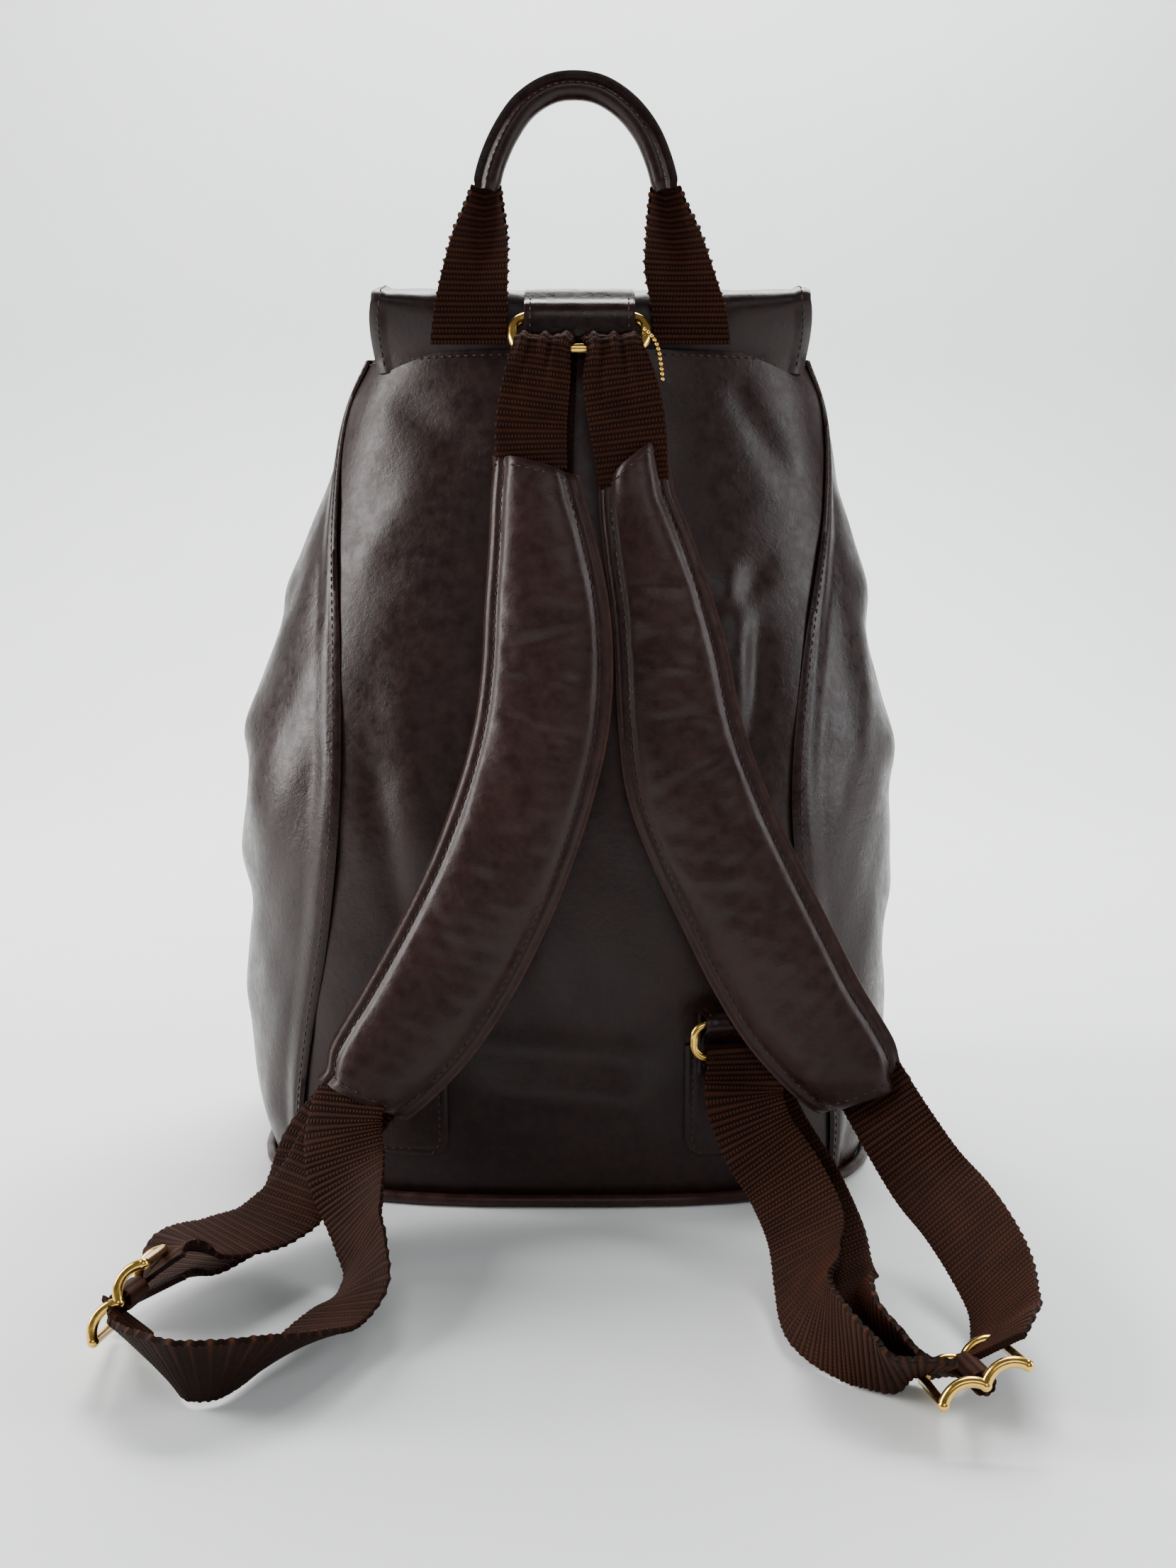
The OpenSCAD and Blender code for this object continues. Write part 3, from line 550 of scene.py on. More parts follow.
GUSSET_FOLDS = (
    [(262, 12, 13, -1.6), (228, -12, 12, 2.0), (206, 16, 10, -2.0), (176, -10, 13, 2.6),
     (150, 8, 12, -2.6), (124, -8, 12, 2.2), (98, 10, 11, -2.0), (70, -6, 12, 1.6)],
    [(262, -12, 13, -1.4), (232, 10, 12, 1.8), (200, -12, 12, -2.0), (172, 12, 11, 2.2),
     (140, -8, 12, -1.8), (112, 10, 12, 1.8), (82, -8, 12, -1.8)],
)
print("creases:", len(GUSSET_FOLDS[0]) + len(GUSSET_FOLDS[1]), "on the gussets")


# %% [markdown]
# The gusset's edge is folded over the back and the front panels, so along each seam
# it stands one hide's thickness proud, with a row of stitches about three
# millimetres in. The back and front panels run a little under it.

# %% Walls
OVERLAP = math.radians(2.3)
STEP = 1.7


def back_surface(angle, z):
    p = wall_point(z, angle, 0)
    return wall_point(z, angle, back_creases(p[:, 0], z))


def gusset_height(angle, z, middle, seed):
    edge = seam_angle(z) + OVERLAP
    inside = (edge - np.abs(angle - middle)) * 115
    lift = STEP * (1 - ease((inside - 5) / 12))
    roll = -0.9 * (1 - ease(inside / 1.4)) - 0.35 * np.exp(-((inside - 3.4) / 0.8) ** 2)
    body = gusset_creases((angle - middle) * 115, z, seed) * ease((inside - 2) / 18)
    return lift + roll + body


def make_back():
    def place(u, v):
        z = 3.2 + (WALL_TOP - 3.2) * v
        reach = math.pi / 2 - seam_angle(z) + 0.02
        return back_surface(-math.pi / 2 + (2 * u - 1) * reach, z)
    return lay_sheet("back_hide", 130, 230, place, 2.0)


def make_front():
    def place(u, v):
        z = 3.2 + (WALL_TOP - 3.2) * v
        reach = math.pi / 2 - seam_angle(z) + 0.02
        angle = math.pi / 2 + (2 * u - 1) * reach
        x = wall_point(z, angle, 0)[:, 0]
        h = 1.0 * drift(x, z, 92, 7) + 0.2 * drift(x, z, 40, 2)
        return wall_point(z, angle, h * ease((z - 4) / 20) * ease((300 - z) / 30))
    return lay_sheet("front_hide", 90, 150, place, 2.0)


def make_gusset(name, middle, seed):
    def place(u, v):
        z = 3.2 + (WALL_TOP - 3.2) * v
        reach = seam_angle(z) + OVERLAP
        angle = middle + (2 * u - 1) * reach
        return wall_point(z, angle, gusset_height(angle, z, middle, seed))
    return lay_sheet(name, 110, 230, place, 1.6)


dress(make_back(), LEATHER["hide_body"], "bag", ["back_panel"])
dress(make_front(), LEATHER["hide_body"], "bag", ["front_panel"])
dress(make_gusset("left_gusset_hide", math.pi, 1.0), LEATHER["hide_gusset"],
                 "bag", ["gusset_left", "seam_back_left", "seam_front_left"])
dress(make_gusset("right_gusset_hide", 0.0, 5.0), LEATHER["hide_gusset"],
                 "bag", ["gusset_right", "seam_back_right", "seam_front_right"])


# %% Wall stitches
def gusset_row(middle, seed, side):
    z = np.linspace(8, 309, 260)
    angle = middle + side * (seam_angle(z) + OVERLAP - 3.3 / 115)
    h = gusset_height(angle, z, middle, seed)
    line = wall_point(z, angle, h + 0.15)
    return line, wall_point(z, angle, h + 2) - wall_point(z, angle, h)


def top_row(side):
    """Stitches along the top edge of the back or the front panel."""
    z = np.full(120, WALL_TOP - 1.8)
    reach = math.pi / 2 - seam_angle(z) - 0.02
    angle = side * math.pi / 2 + np.linspace(-1, 1, 120) * reach
    return wall_point(z, angle, 0.15), wall_point(z, angle, 2) - wall_point(z, angle, 0)


sew("wall_stitches", [gusset_row(m, s, side) for m, s in ((math.pi, 1.0), (0.0, 5.0))
                      for side in (-1, 1)] + [top_row(-1), top_row(1)],
    "bag")


# %% [markdown]
# ## The piping round the base
#
# A round cord is sewn into the seam between walls and base, wrapped in a lighter
# leather. A torus is the nearest primitive: its ring is stretched to the base's
# rounded rectangle, and its tube is kept round.

# %% Piping
def superoval(angle, a, b, n):
    return np.stack([a * signed_power(np.cos(angle), 2 / n),
                     b * signed_power(np.sin(angle), 2 / n)], 1)


nothing_selected()
bpy.ops.mesh.primitive_torus_add(major_segments=240, minor_segments=14,
                                 major_radius=1.0, minor_radius=0.25)
piping = bpy.context.object
piping.name = "base_piping"
ring = get_points(piping)
theta = np.arctan2(ring[:, 1], ring[:, 0])
reach = np.hypot(ring[:, 0], ring[:, 1]) - 1.0
middle = superoval(theta, 121.4, 92.4, 3.1)
ahead = superoval(theta + 0.01, 121.4, 92.4, 3.1)
out = unit(np.stack([(ahead - middle)[:, 1], -(ahead - middle)[:, 0]], 1))
tube = 2.15 * (1 + 0.05 * np.sin(40 * theta))
set_points(piping, np.column_stack([
    middle + out * (reach / 0.25 * tube)[:, None],
    2.5 + ring[:, 2] / 0.25 * np.minimum(tube, 2.15)]))
dress(piping, LEATHER["hide_welt"], "bag", ["base_welt"])

# %% [markdown]
# ## The flap
#
# The flap is one long piece of hide: it is sewn into the mouth's rear seam, folds
# over the top and falls down the front. It crosses the hinge line between two bodies
# of the frame and is attached to neither. Its sides are hemmed: the hide is doubled over
# about five millimetres and stitched near the inner edge of the hem.

# %% Flap sheet
FLAP_LINE = [
    [-59.4, 305], [-60.2, 311], [-60.8, 318], [-60.6, 324], [-59, 328.4], [-56, 331.4],
    [-50, 333.2], [-40, 335.2], [-20, 337.4], [0, 337.8], [20, 335.8], [36, 330],
    [48, 318], [56, 302], [64, 278], [72, 250], [79, 222], [84, 196],
]
FLAP_X, FLAP_HALF, FLAP_HIDE = 9.0, 81.0, 1.9
flap_line, flap_length = route([[0] + row for row in FLAP_LINE])
FLAP_RUN = flap_length[-1]


def flap_half(s):
    """Half width at length s: pinched at the fold, full at the front, round corners."""
    f = s / FLAP_RUN
    half = FLAP_HALF - 1.5 + 1.8 * np.sin(np.clip(s / 24, 0, 1) * math.pi)
    half = half + 4.2 * ease((s - 24) / 90)
    corner = np.clip((f - 0.87) / 0.13, 0, 1)
    return half - 26 * (1 - np.sqrt(np.maximum(0, 1 - 0.96 * corner ** 2)))


def flap_surface(u, s, lift):
    row = at(flap_line, flap_length, s)
    t = unit(at(flap_line, flap_length, np.minimum(s + 1, FLAP_RUN))
             - at(flap_line, flap_length, np.maximum(s - 1, 0)))
    half = flap_half(s)
    x = (2 * u - 1) * half
    edge = half - np.abs(x)
    hem = 0.8 * (1 - ease((edge - 4.6) / 0.8)) - 0.7 * (1 - ease(edge / 1.2))
    wave = 0.8 * drift(x, s, 74, 3) + 0.25 * drift(x, s, 27, 8)
    wave = wave * ease((s - 10) / 12) - 1.2 * np.exp(-((s - 40) / 20) ** 2) \
        * np.cos(np.clip(x / FLAP_HALF, -1, 1) * math.pi / 2)
    h = lift + hem + wave
    foot = 1 - ease((s - 5) / 22)
    curve = 0.85 * (back_y(FLAP_X + x * 0.96, 311.0) - back_y(FLAP_X, 311.0)) * foot
    y = row[:, 1] - t[:, 2] * h + curve
    z = row[:, 2] + t[:, 1] * h
    return np.stack([FLAP_X + x, y, z], 1)


flap = lay_sheet("flap_hide", 110, 200, lambda u, v: flap_surface(u, v * FLAP_RUN, 0.9),
                 FLAP_HIDE)
dress(flap, LEATHER["hide_flap"], None)


def flap_rows():
    s = np.linspace(2, FLAP_RUN - 4, 240)
    rows = []
    for side in (-1, 1):
        half = flap_half(s)
        u = 0.5 + side * 0.5 * (half - 3.4) / half
        base, top = flap_surface(u, s, 1.05), flap_surface(u, s, 3)
        rows.append((base, top - base))
    u = np.linspace(0.09, 0.91, 80)
    s = np.full(80, FLAP_RUN - 4)
    base, top = flap_surface(u, s, 1.05), flap_surface(u, s, 3)
    return rows + [(base, top - base)]


flap_stitches = sew("flap_stitches", flap_rows(), None)
lining = lay_sheet("flap_lining_cloth", 40, 80,
                   lambda u, v: flap_surface(0.5 + (u - 0.5) * 0.92, 30 + v * (FLAP_RUN - 36),
                                             -1.2), 0.5)
dress(lining, LINING, None)
for piece in (flap, flap_stitches, lining):
    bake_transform(piece)
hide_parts("flap_back", "flap")
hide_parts("flap_lining")
print("flap runs", round(FLAP_RUN), "mm")

# %% [markdown]
# ## Webbing
#
# Nylon webbing is a flat tape woven in ribs: each rib is a row of knuckles across the
# tape, a little under two millimetres apart, and each row is shifted by half a
# knuckle. The ribs catch the light, so they are modelled as relief. A webbing piece
# follows a short list of stations: a middle point, the direction of its width, and
# half its width.

# %% Weave
RIB, KNUCKLES, WEB_THICK, RELIEF = 1.9, 22, 1.7, 0.5


def weave_height(u, s):
    rib = np.abs(np.sin(math.pi * s / RIB)) ** 0.7
    row = np.floor(s / RIB)
    knuckle = np.abs(np.sin(math.pi * (u * KNUCKLES + 0.5 * (row % 2)))) ** 0.6
    return rib * (0.35 + 0.65 * knuckle)


def lay_webbing(name, stations, sag=None, rows=5):
    line, length = route(stations)
    run = length[-1]

    def raw(u, s):
        c, w, n, half = band_frame(line, length, s)
        ripple = 0.22 * np.sin(math.pi * s / RIB) ** 2
        edge = (half[:, 0] + ripple) * (2 * u - 1)
        lift = RELIEF * (weave_height(u, s) - 0.5)
        lift = lift - 0.35 * np.abs(2 * u - 1) ** 14
        if sag is not None:
            lift = lift + sag(2 * u - 1, s / run)
        return c + w * edge[:, None] + n * (lift + WEB_THICK / 2)[:, None]

    # The rib height also goes into the attribute that paints shade into the gaps between ribs.
    obj = lay_sheet(name, KNUCKLES * 3, max(int(run / RIB * rows), 8),
                    lambda u, v: raw(1 - u, v * run), WEB_THICK,
                    height=lambda u, v: weave_height(1 - u, v * run))
    print(name, "runs", round(run), "mm")
    return obj


# %% Webbing on the upper ring
RING_LOW = (-78.0, 309.0)
LOOP = 4.2


def loop_round(x0, x1, half):
    """Stations over the ring's lower bar, from the back run to the front run."""
    return [[x0 + (x1 - x0) * (180 - a) / 180,
             RING_LOW[0] - LOOP * math.cos(math.radians(a)),
             RING_LOW[1] + LOOP * math.sin(math.radians(a)), 1, 0, 0, half]
            for a in range(180, -1, -30)]


UPPER_L = ([[-9.5, -84.6, 258, 1, 0, 0, 12.2], [-9, -81, 280, 1, 0, 0, 12]]
           + loop_round(-5.8, -8.2, 10.0)
           + [[-9.8, -84, 298, 1, 0, 0, 11.6], [-11.8, -87, 282, 1, 0, 0, 12.3],
              [-11.6, -90.6, 266, 0.99, -0.1, 0, 12.4]])
UPPER_R = ([[25, -82.6, 254, 1, 0, 0, 11], [22, -80.6, 280, 1, 0, 0, 12]]
           + loop_round(15.9, 17.4, 9.8)
           + [[18.8, -84, 298, 1, 0, 0, 12.6], [21.5, -87, 283, 0.99, 0, 0.1, 13.2],
              [24, -90, 262, 0.99, -0.1, 0.1, 12]])


def gathered(u, f):
    """Small puckers where the tape is squeezed into the ring."""
    near = np.exp(-((f - 0.5) / 0.16) ** 2)
    return near * (0.7 * np.sin(u * 9.5 + 14 * f) + 0.4 * np.sin(u * 17 + 1))


for name, stations in (("left", UPPER_L), ("right", UPPER_R)):
    # the list runs up the back, over the bar and down the front
    dress(lay_webbing(name + "_ring_webbing", stations, sag=gathered), WEBBING,
          name + "_strap", [name + "_upper_webbing"])

# %% [markdown]
# ## Shoulder pads
#
# Each pad is a long curved strap of two hides with foam between. The top hide is
# crowned over the foam and pressed flat along its edges, where it is stitched to a
# slightly wider backing hide. The leather creases across the strap where it bends.

# %% Pad stations
PAD_L = [
    [-10.6, -90, 268, 0.99, -0.12, 0, 13.6], [-9.8, -93, 256, 0.99, -0.14, 0, 15.4],
    [-8, -96, 240, 0.99, -0.15, 0, 18], [-6.5, -99, 220, 0.99, -0.15, 0, 20.8],
    [-6.2, -101, 200, 0.99, -0.15, 0, 22], [-8, -103, 180, 0.99, -0.15, 0, 22.5],
    [-12.5, -105, 160, 0.98, -0.15, -0.06, 22.5], [-19, -107, 140, 0.96, -0.13, -0.2, 22.5],
    [-27, -110, 120, 0.93, -0.1, -0.3, 22.5], [-38, -112, 98, 0.88, -0.1, -0.42, 22.5],
    [-51, -115, 77, 0.84, -0.1, -0.48, 21.5], [-66, -117.5, 58, 0.86, -0.1, -0.4, 18.5],
    [-72, -118, 51, 0.93, -0.1, -0.25, 14],
]
PAD_R = [
    [23.9, -86.6, 270, 0.99, -0.12, 0, 11.4], [24.4, -88, 264, 0.99, -0.12, 0, 11.8],
    [25.4, -90, 254, 0.99, -0.14, 0, 12.8],
    [28.8, -93, 240, 0.99, -0.15, 0, 14.8], [33.5, -96, 220, 0.99, -0.15, 0, 16.8],
    [37.1, -98, 200, 0.99, -0.15, 0, 18.9], [39.6, -100, 180, 0.99, -0.14, 0.05, 20.4],
    [43.8, -102, 160, 0.97, -0.12, 0.15, 22.2], [51.5, -105, 140, 0.94, -0.1, 0.25, 22.5],
    [61, -108, 120, 0.9, -0.1, 0.36, 22.5], [72, -111.4, 98, 0.85, -0.1, 0.46, 22.5],
    [83, -114.8, 79, 0.82, -0.1, 0.52, 21.5], [98, -118.2, 60, 0.84, -0.1, 0.48, 18.5],
    [105, -118.6, 52, 0.9, -0.1, 0.4, 14],
]
PAD_CROWN, PAD_EDGE = 4.6, 4.2


# %% Pads
def pad_height(u, s, half, seed):
    x = (2 * u - 1) * half
    edge = half - np.abs(x)
    h = PAD_CROWN * (1 - np.clip(np.abs(x) / (half - PAD_EDGE * 0.8), 0, 1) ** 3.2) ** 0.8
    h = h - 0.5 * np.exp(-((edge - PAD_EDGE) / 0.9) ** 2)
    h = h - 0.9 * (1 - ease(edge / 1.6))
    soft = ease((edge - PAD_EDGE) / 6)
    h = h + soft * (0.5 * drift(x, s, 46, seed) + 0.16 * drift(x * 0.4, s, 9, seed + 2))
    for s0, tilt, width, depth in PAD_CREASES:
        h = h + soft * fold(x, s, (-16, s0 - tilt), (16, s0 + tilt), width, depth)
    return h


PAD_CREASES = [(46, 4, 2.2, -0.5), (62, -3, 2.6, -0.6), (74, 3, 2.0, 0.4),
               (92, 2, 2.4, -0.5), (112, -4, 3.0, -0.4), (150, 5, 3.0, 0.3)]


def make_pad(name, stations, seed, cut_top, cut_end):
    line, length = route(stations)
    run = length[-1]

    def surface(u, v, lift, wide=0.0):
        slant = 2 * u - 1
        s = cut_top * slant * (1 - v) ** 3 + v * run + cut_end * slant * v ** 6
        c, w, n, half = band_frame(line, length, np.clip(s, 0, run))
        over = np.where(s < 0, s, 0) + np.where(s > run, s - run, 0)
        t = np.cross(w, n)
        h = pad_height(u, s, half[:, 0], seed)
        x = (half[:, 0] + wide) * slant
        ends = 1 - ease(np.minimum(v, 1 - v) * run / 1.8)
        return (c + w * x[:, None] + t * over[:, None]
                + n * ((h - 0.8 * ends) * lift[0] + lift[1])[:, None])

    top = lay_sheet(name + "_pad_hide", 60, 200,
                    lambda u, v: surface(1 - u, v, (1, 2.0)), 1.6)
    dress(top, LEATHER["hide_pad"], name + "_strap",
          [name + "_pad_front", name + "_pad_foam"])
    under = lay_sheet(name + "_pad_backing", 30, 120,
                      lambda u, v: surface(1 - u, v, (0.06, -0.2), 1.0), 1.4)
    dress(under, LEATHER["hide_edge"], name + "_strap",
          [name + "_pad_back"])
    v = np.linspace(0.012, 0.988, 200)
    half = at(line, length, v * run)[:, 6]
    rows = []
    for side in (-1, 1):
        u = 0.5 + side * 0.5 * (half - 3.4) / half
        base, high = surface(u, v, (1, 2.1)), surface(u, v, (1, 4))
        rows.append((base, high - base))
    for v_end in (0.014, 0.986):
        u = np.linspace(0.13, 0.87, 40)
        v2 = np.full(40, v_end)
        base, high = surface(u, v2, (1, 2.1)), surface(u, v2, (1, 4))
        rows.append((base, high - base))
    sew(name + "_pad_stitches", rows, name + "_strap")
    return run


print("left pad", round(make_pad("left", PAD_L, 1.0, 5.0, -4.5)), "mm long")
print("right pad", round(make_pad("right", PAD_R, 4.0, -8.0, 5.0)), "mm long")

# %% [markdown]
# ## Lower webbing and adjusters
#
# Below each pad the webbing hangs, turns over and runs to a brass slider on the floor.
# From there two layers run back to a ring on the bag. The route's stations are those
# of the CAD solids, in millimetres.

# %% Stations of the lower webbing
HALF = 13.5
LOWER_L = [
    [-73.6, -117.5, 54, 0.95, -0.28, 0.1, HALF], [-75.7, -126.2, 43, 0.97, -0.21, 0.07, HALF],
    [-73.8, -136.2, 35.3, 0.96, -0.22, 0.1, HALF], [-69.5, -148.5, 27.9, 0.8, -0.52, 0.29, HALF],
    [-65.8, -160.2, 21.3, 0.6, -0.7, 0.39, HALF], [-63, -172, 16, 0.46, -0.82, 0.34, HALF],
    [-64, -186, 11, 0.5, -0.84, 0.2, HALF], [-71, -202, 8.5, 0.62, -0.77, 0.25, HALF],
    [-79, -221, 10.5, 0.55, -0.55, 0.62, HALF], [-90, -235, 13.5, 0.3, -0.45, 0.84, HALF],
    [-103, -238, 14.2, 0.12, -0.5, 0.86, HALF], [-113, -231, 13.8, 0.03, -0.7, 0.72, HALF],
    [-120, -220, 12.6, -0.02, -0.87, 0.5, HALF], [-126, -211, 17, 0.05, -0.94, 0.33, HALF],
]
LOWER_R = [
    [105.5, -117.5, 56, 0.8, -0.4, 0.46, HALF], [114, -128, 42, 0.79, -0.3, 0.54, HALF],
    [121, -143, 32, 0.81, -0.26, 0.52, HALF], [127, -159, 27, 0.8, -0.35, 0.48, HALF],
    [131, -177, 22, 0.67, -0.56, 0.48, HALF], [132, -195, 18.5, 0.49, -0.65, 0.56, HALF],
    [129, -211, 16.5, 0.3, -0.8, 0.52, HALF], [125, -222, 17, 0.1, -0.88, 0.46, HALF],
    [119, -231, 16, 0, -0.93, 0.36, HALF],
]
ADJ_L = [
    [-64, -109.5, 56, 0.96, -0.24, -0.1, HALF], [-71, -114, 48, 0.85, -0.4, -0.3, HALF],
    [-78, -117, 38, 0.7, -0.5, -0.5, HALF], [-82.7, -123.7, 29.6, 0.55, -0.65, -0.5, HALF],
    [-90.3, -135, 21.1, 0.42, -0.85, -0.3, HALF], [-97.2, -150.1, 18.8, 0.38, -0.91, -0.1, HALF],
    [-106.8, -166.3, 21.2, 0.3, -0.95, 0, HALF], [-117.6, -182, 24.9, 0.25, -0.95, 0.1, HALF],
    [-122, -195, 22, 0.2, -0.95, 0.2, HALF],
]
ADJ_L2 = [
    [-62.6, -101.4, 61, 0.97, -0.2, 0, HALF], [-68, -103.2, 54, 0.9, -0.3, -0.15, HALF],
    [-77, -107, 44, 0.8, -0.45, -0.3, HALF],
    [-86, -112.9, 33.8, 0.6, -0.6, -0.5, HALF], [-89.8, -121.1, 25.2, 0.5, -0.7, -0.45, HALF],
    [-96.4, -132.2, 15.6, 0.4, -0.88, -0.2, HALF], [-105.3, -146.2, 12.8, 0.36, -0.92, 0, HALF],
    [-114.9, -160.8, 11.3, 0.3, -0.95, 0.1, HALF], [-122.8, -175.7, 12.1, 0.2, -0.95, 0.2, HALF],
    [-126, -190, 13, 0.15, -0.95, 0.25, HALF],
]
ADJ_R = [
    [62.8, -110, 54, 0.97, 0.05, 0.04, HALF], [63, -115.5, 47, 0.95, -0.2, 0.1, HALF],
    [67, -124, 37, 0.9, -0.35, 0.2, HALF], [74, -140, 29, 0.87, -0.38, 0.3, HALF],
    [78, -160, 22, 0.82, -0.4, 0.4, HALF], [76.4, -180, 16.5, 0.62, -0.52, 0.58, HALF],
    [74.6, -204.5, 15.4, 0.35, -0.56, 0.74, HALF], [81.7, -224.1, 14.5, 0.16, -0.62, 0.76, HALF],
    [91.1, -233.5, 12.3, 0.1, -0.7, 0.7, HALF], [100, -235.5, 14, 0, -0.8, 0.6, HALF],
    [108, -236, 14.5, 0, -0.85, 0.5, HALF],
]
ADJ_R2 = [
    [62.6, -101.4, 61, 0.98, 0.2, 0, HALF], [64.6, -105.4, 53.5, 0.97, 0.1, 0.05, HALF],
    [67.5, -110.5, 46, 0.95, -0.1, 0.1, HALF],
    [72.5, -117, 36, 0.92, -0.2, 0.15, HALF], [80, -135, 26, 0.9, -0.3, 0.2, HALF],
    [84.5, -160, 17, 0.85, -0.35, 0.3, HALF], [84, -182, 13, 0.72, -0.55, 0.4, HALF],
    [84.5, -202, 15, 0.55, -0.62, 0.55, HALF], [90, -217, 14.8, 0.34, -0.72, 0.6, HALF],
    [99.5, -227, 12.8, 0.15, -0.82, 0.55, HALF], [107, -233, 12.5, 0.05, -0.9, 0.42, HALF],
]

# %% Lay the lower webbing
# middle of the lower rings' bottom bars, radius of the fold round them, half width
BAR_Y, BAR_Z, BAR_WRAP, BAR_HALF = -104.5, 61.8, 2.8, 12.6


def over_ring(side):
    """Stations over a lower ring's bottom bar, from behind it to its front."""
    x0, turn = (-62.0, -12.0) if side == "left" else (62.0, 12.0)
    c, sn = math.cos(math.radians(turn)), math.sin(math.radians(turn))
    rows = []
    for a in range(180, -1, -30):
        y = -BAR_WRAP * math.cos(math.radians(a))
        z = BAR_WRAP * math.sin(math.radians(a))
        rows.append([x0 - sn * y, BAR_Y + c * y, BAR_Z + z, c, sn, 0, BAR_HALF])
    return rows


for side, lower, outer, inner in (("left", LOWER_L, ADJ_L, ADJ_L2),
                                  ("right", LOWER_R, ADJ_R, ADJ_R2)):
    hang = lay_webbing(side + "_hanging_webbing", lower)
    dress(hang, WEBBING, None)
    top, low = lower[0], lower[5]
    [v * MM for v in low[:3]]
    [v * MM for v in top[:3]]
    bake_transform(hang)
    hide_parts(side + "_lower_webbing")
    dress(lay_webbing(side + "_adjuster_tape", over_ring(side) + outer), WEBBING,
          "bag", [side + "_adjuster_webbing"])
    dress(lay_webbing(side + "_adjuster_return_tape", inner), WEBBING, "bag",
          [side + "_adjuster_return"])

# %% [markdown]
# ## Handle
#
# Two webbing legs rise from the seam, fold in half lengthwise and disappear into a
# rolled leather grip. The grip is a strip of hide wrapped round a rope, with its two
# edges sewn together along the outside as a flat flange.

# %% Handle legs
LEG_L = [
    [-35.2, -63.4, 312.4, 1, 0, 0, 13.4, 0], [-34.2, -63.6, 324, 1, 0, 0, 13, 0.3],
    [-32.4, -64, 338, 1, 0, 0, 11.6, 1.5], [-30.6, -64.6, 350, 1, 0, 0, 9.4, 3],
    [-29, -65.2, 360, 1, 0, 0, 6, 3.6], [-28, -65.6, 366.5, 1, 0, 0, 4, 3],
]
LEG_R = [
    [45.4, -63.4, 312.4, 1, 0, 0, 13.6, 0], [44.2, -63.6, 324, 1, 0, 0, 13.2, 0.3],
    [40.6, -64, 338, 1, 0, 0, 12.2, 1.5], [38.6, -64.6, 350, 1, 0, 0, 9.4, 3],
    [36.4, -65.2, 360, 1, 0, 0, 6, 3.6], [35.4, -65.6, 366.5, 1, 0, 0, 4, 3],
]


def lay_leg(name, stations):
    line, length = route(stations)

    def raw(u, s):
        row = at(line, length, s)
        across = 2 * u - 1
        half = row[:, 6] + 0.22 * np.sin(math.pi * s / RIB) ** 2
        lift = RELIEF * (weave_height(u, s) - 0.5) + WEB_THICK / 2
        valley = row[:, 7] * (1 - np.abs(across) ** 1.3) * 1.6
        return np.stack([row[:, 0] + across * half, row[:, 1] + valley - lift,
                         row[:, 2]], 1)

    run = length[-1]
    # The rib height also goes into the attribute that paints shade into the gaps between ribs.
    return lay_sheet(name, KNUCKLES * 3, int(run / RIB * 6),
                     lambda u, v: raw(u, v * run), WEB_THICK,
                     height=lambda u, v: weave_height(u, v * run))


dress(lay_leg("handle_leg_left", LEG_L), WEBBING, "handle",
      ["handle_webbing_left"])
dress(lay_leg("handle_leg_right", LEG_R), WEBBING, "handle",
      ["handle_webbing_right"])

# %% Rolled grip
GRIP = [[-28, 365], [-25.6, 374], [-21, 384], [-14.4, 393], [-5.6, 398.6], [3.4, 400],
        [12.6, 398.4], [21.6, 392.6], [28.6, 384], [33, 374], [35.4, 365]]
GRIP_Y = -66.0
grip_line, grip_length = route([[x, GRIP_Y, z, 0, 0, 0, 0] for x, z in GRIP])
GRIP_RUN = grip_length[-1]


def grip_surface(turn, s, extra=0.0):
    """turn 0 points away from the arch, and a quarter turn points to the camera."""
    c = at(grip_line, grip_length, s)[:, :3]
    t = unit(at(grip_line, grip_length, np.minimum(s + 1, GRIP_RUN))[:, :3]
             - at(grip_line, grip_length, np.maximum(s - 1, 0))[:, :3])
    away = np.stack([-t[:, 2], 0 * t[:, 0], t[:, 0]], 1)
    toward = np.tile([0.0, -1.0, 0.0], (len(c), 1))
    ca, sa = np.cos(turn), np.sin(turn)
    flange = ca > 0.45
    a = np.where(flange, 4.8 * np.minimum((ca - 0.45) / 0.35, 1) ** 0.6 + 0.9, 0)
    body_a, body_b = -0.7 + 3.9 * ca, 4.1 * sa
    fl_a, fl_b = a, np.clip(sa * 3.4, -2.3, 2.3) * (1 - 0.1 * ease(ca))
    groove = np.exp(-((ca - 0.45) / 0.08) ** 2) * 0.7
    pa = np.where(flange, np.minimum(fl_a, 5.0), body_a)
    pb = np.where(flange, fl_b, body_b)
    pb = pb - np.sign(pb) * groove
    grow = 1 + extra / 4.0
    end = 1 - 0.16 * (1 - ease(np.minimum(s, GRIP_RUN - s) / 3))
    pa, pb = pa * grow * end, pb * grow * end
    return c + away * pa[:, None] + toward * pb[:, None]


nothing_selected()
bpy.ops.mesh.primitive_cylinder_add(vertices=48, radius=1, depth=2, end_fill_type="NGON")
grip = bpy.context.object
grip.name = "grip_roll"
bpy.ops.object.mode_set(mode="EDIT")
bpy.ops.mesh.select_all(action="SELECT")
for cut in np.linspace(-0.98, 0.98, 90):
    bpy.ops.mesh.select_all(action="SELECT")
    bpy.ops.mesh.bisect(plane_co=(0, 0, float(cut)), plane_no=(0, 0, 1))
bpy.ops.object.mode_set(mode="OBJECT")
tube = get_points(grip)
turn = np.arctan2(tube[:, 1], tube[:, 0])
set_points(grip, grip_surface(turn, (tube[:, 2] + 1) / 2 * GRIP_RUN))
take(grip)
bpy.ops.object.mode_set(mode="EDIT")
bpy.ops.mesh.select_all(action="SELECT")
bpy.ops.mesh.normals_make_consistent(inside=False)
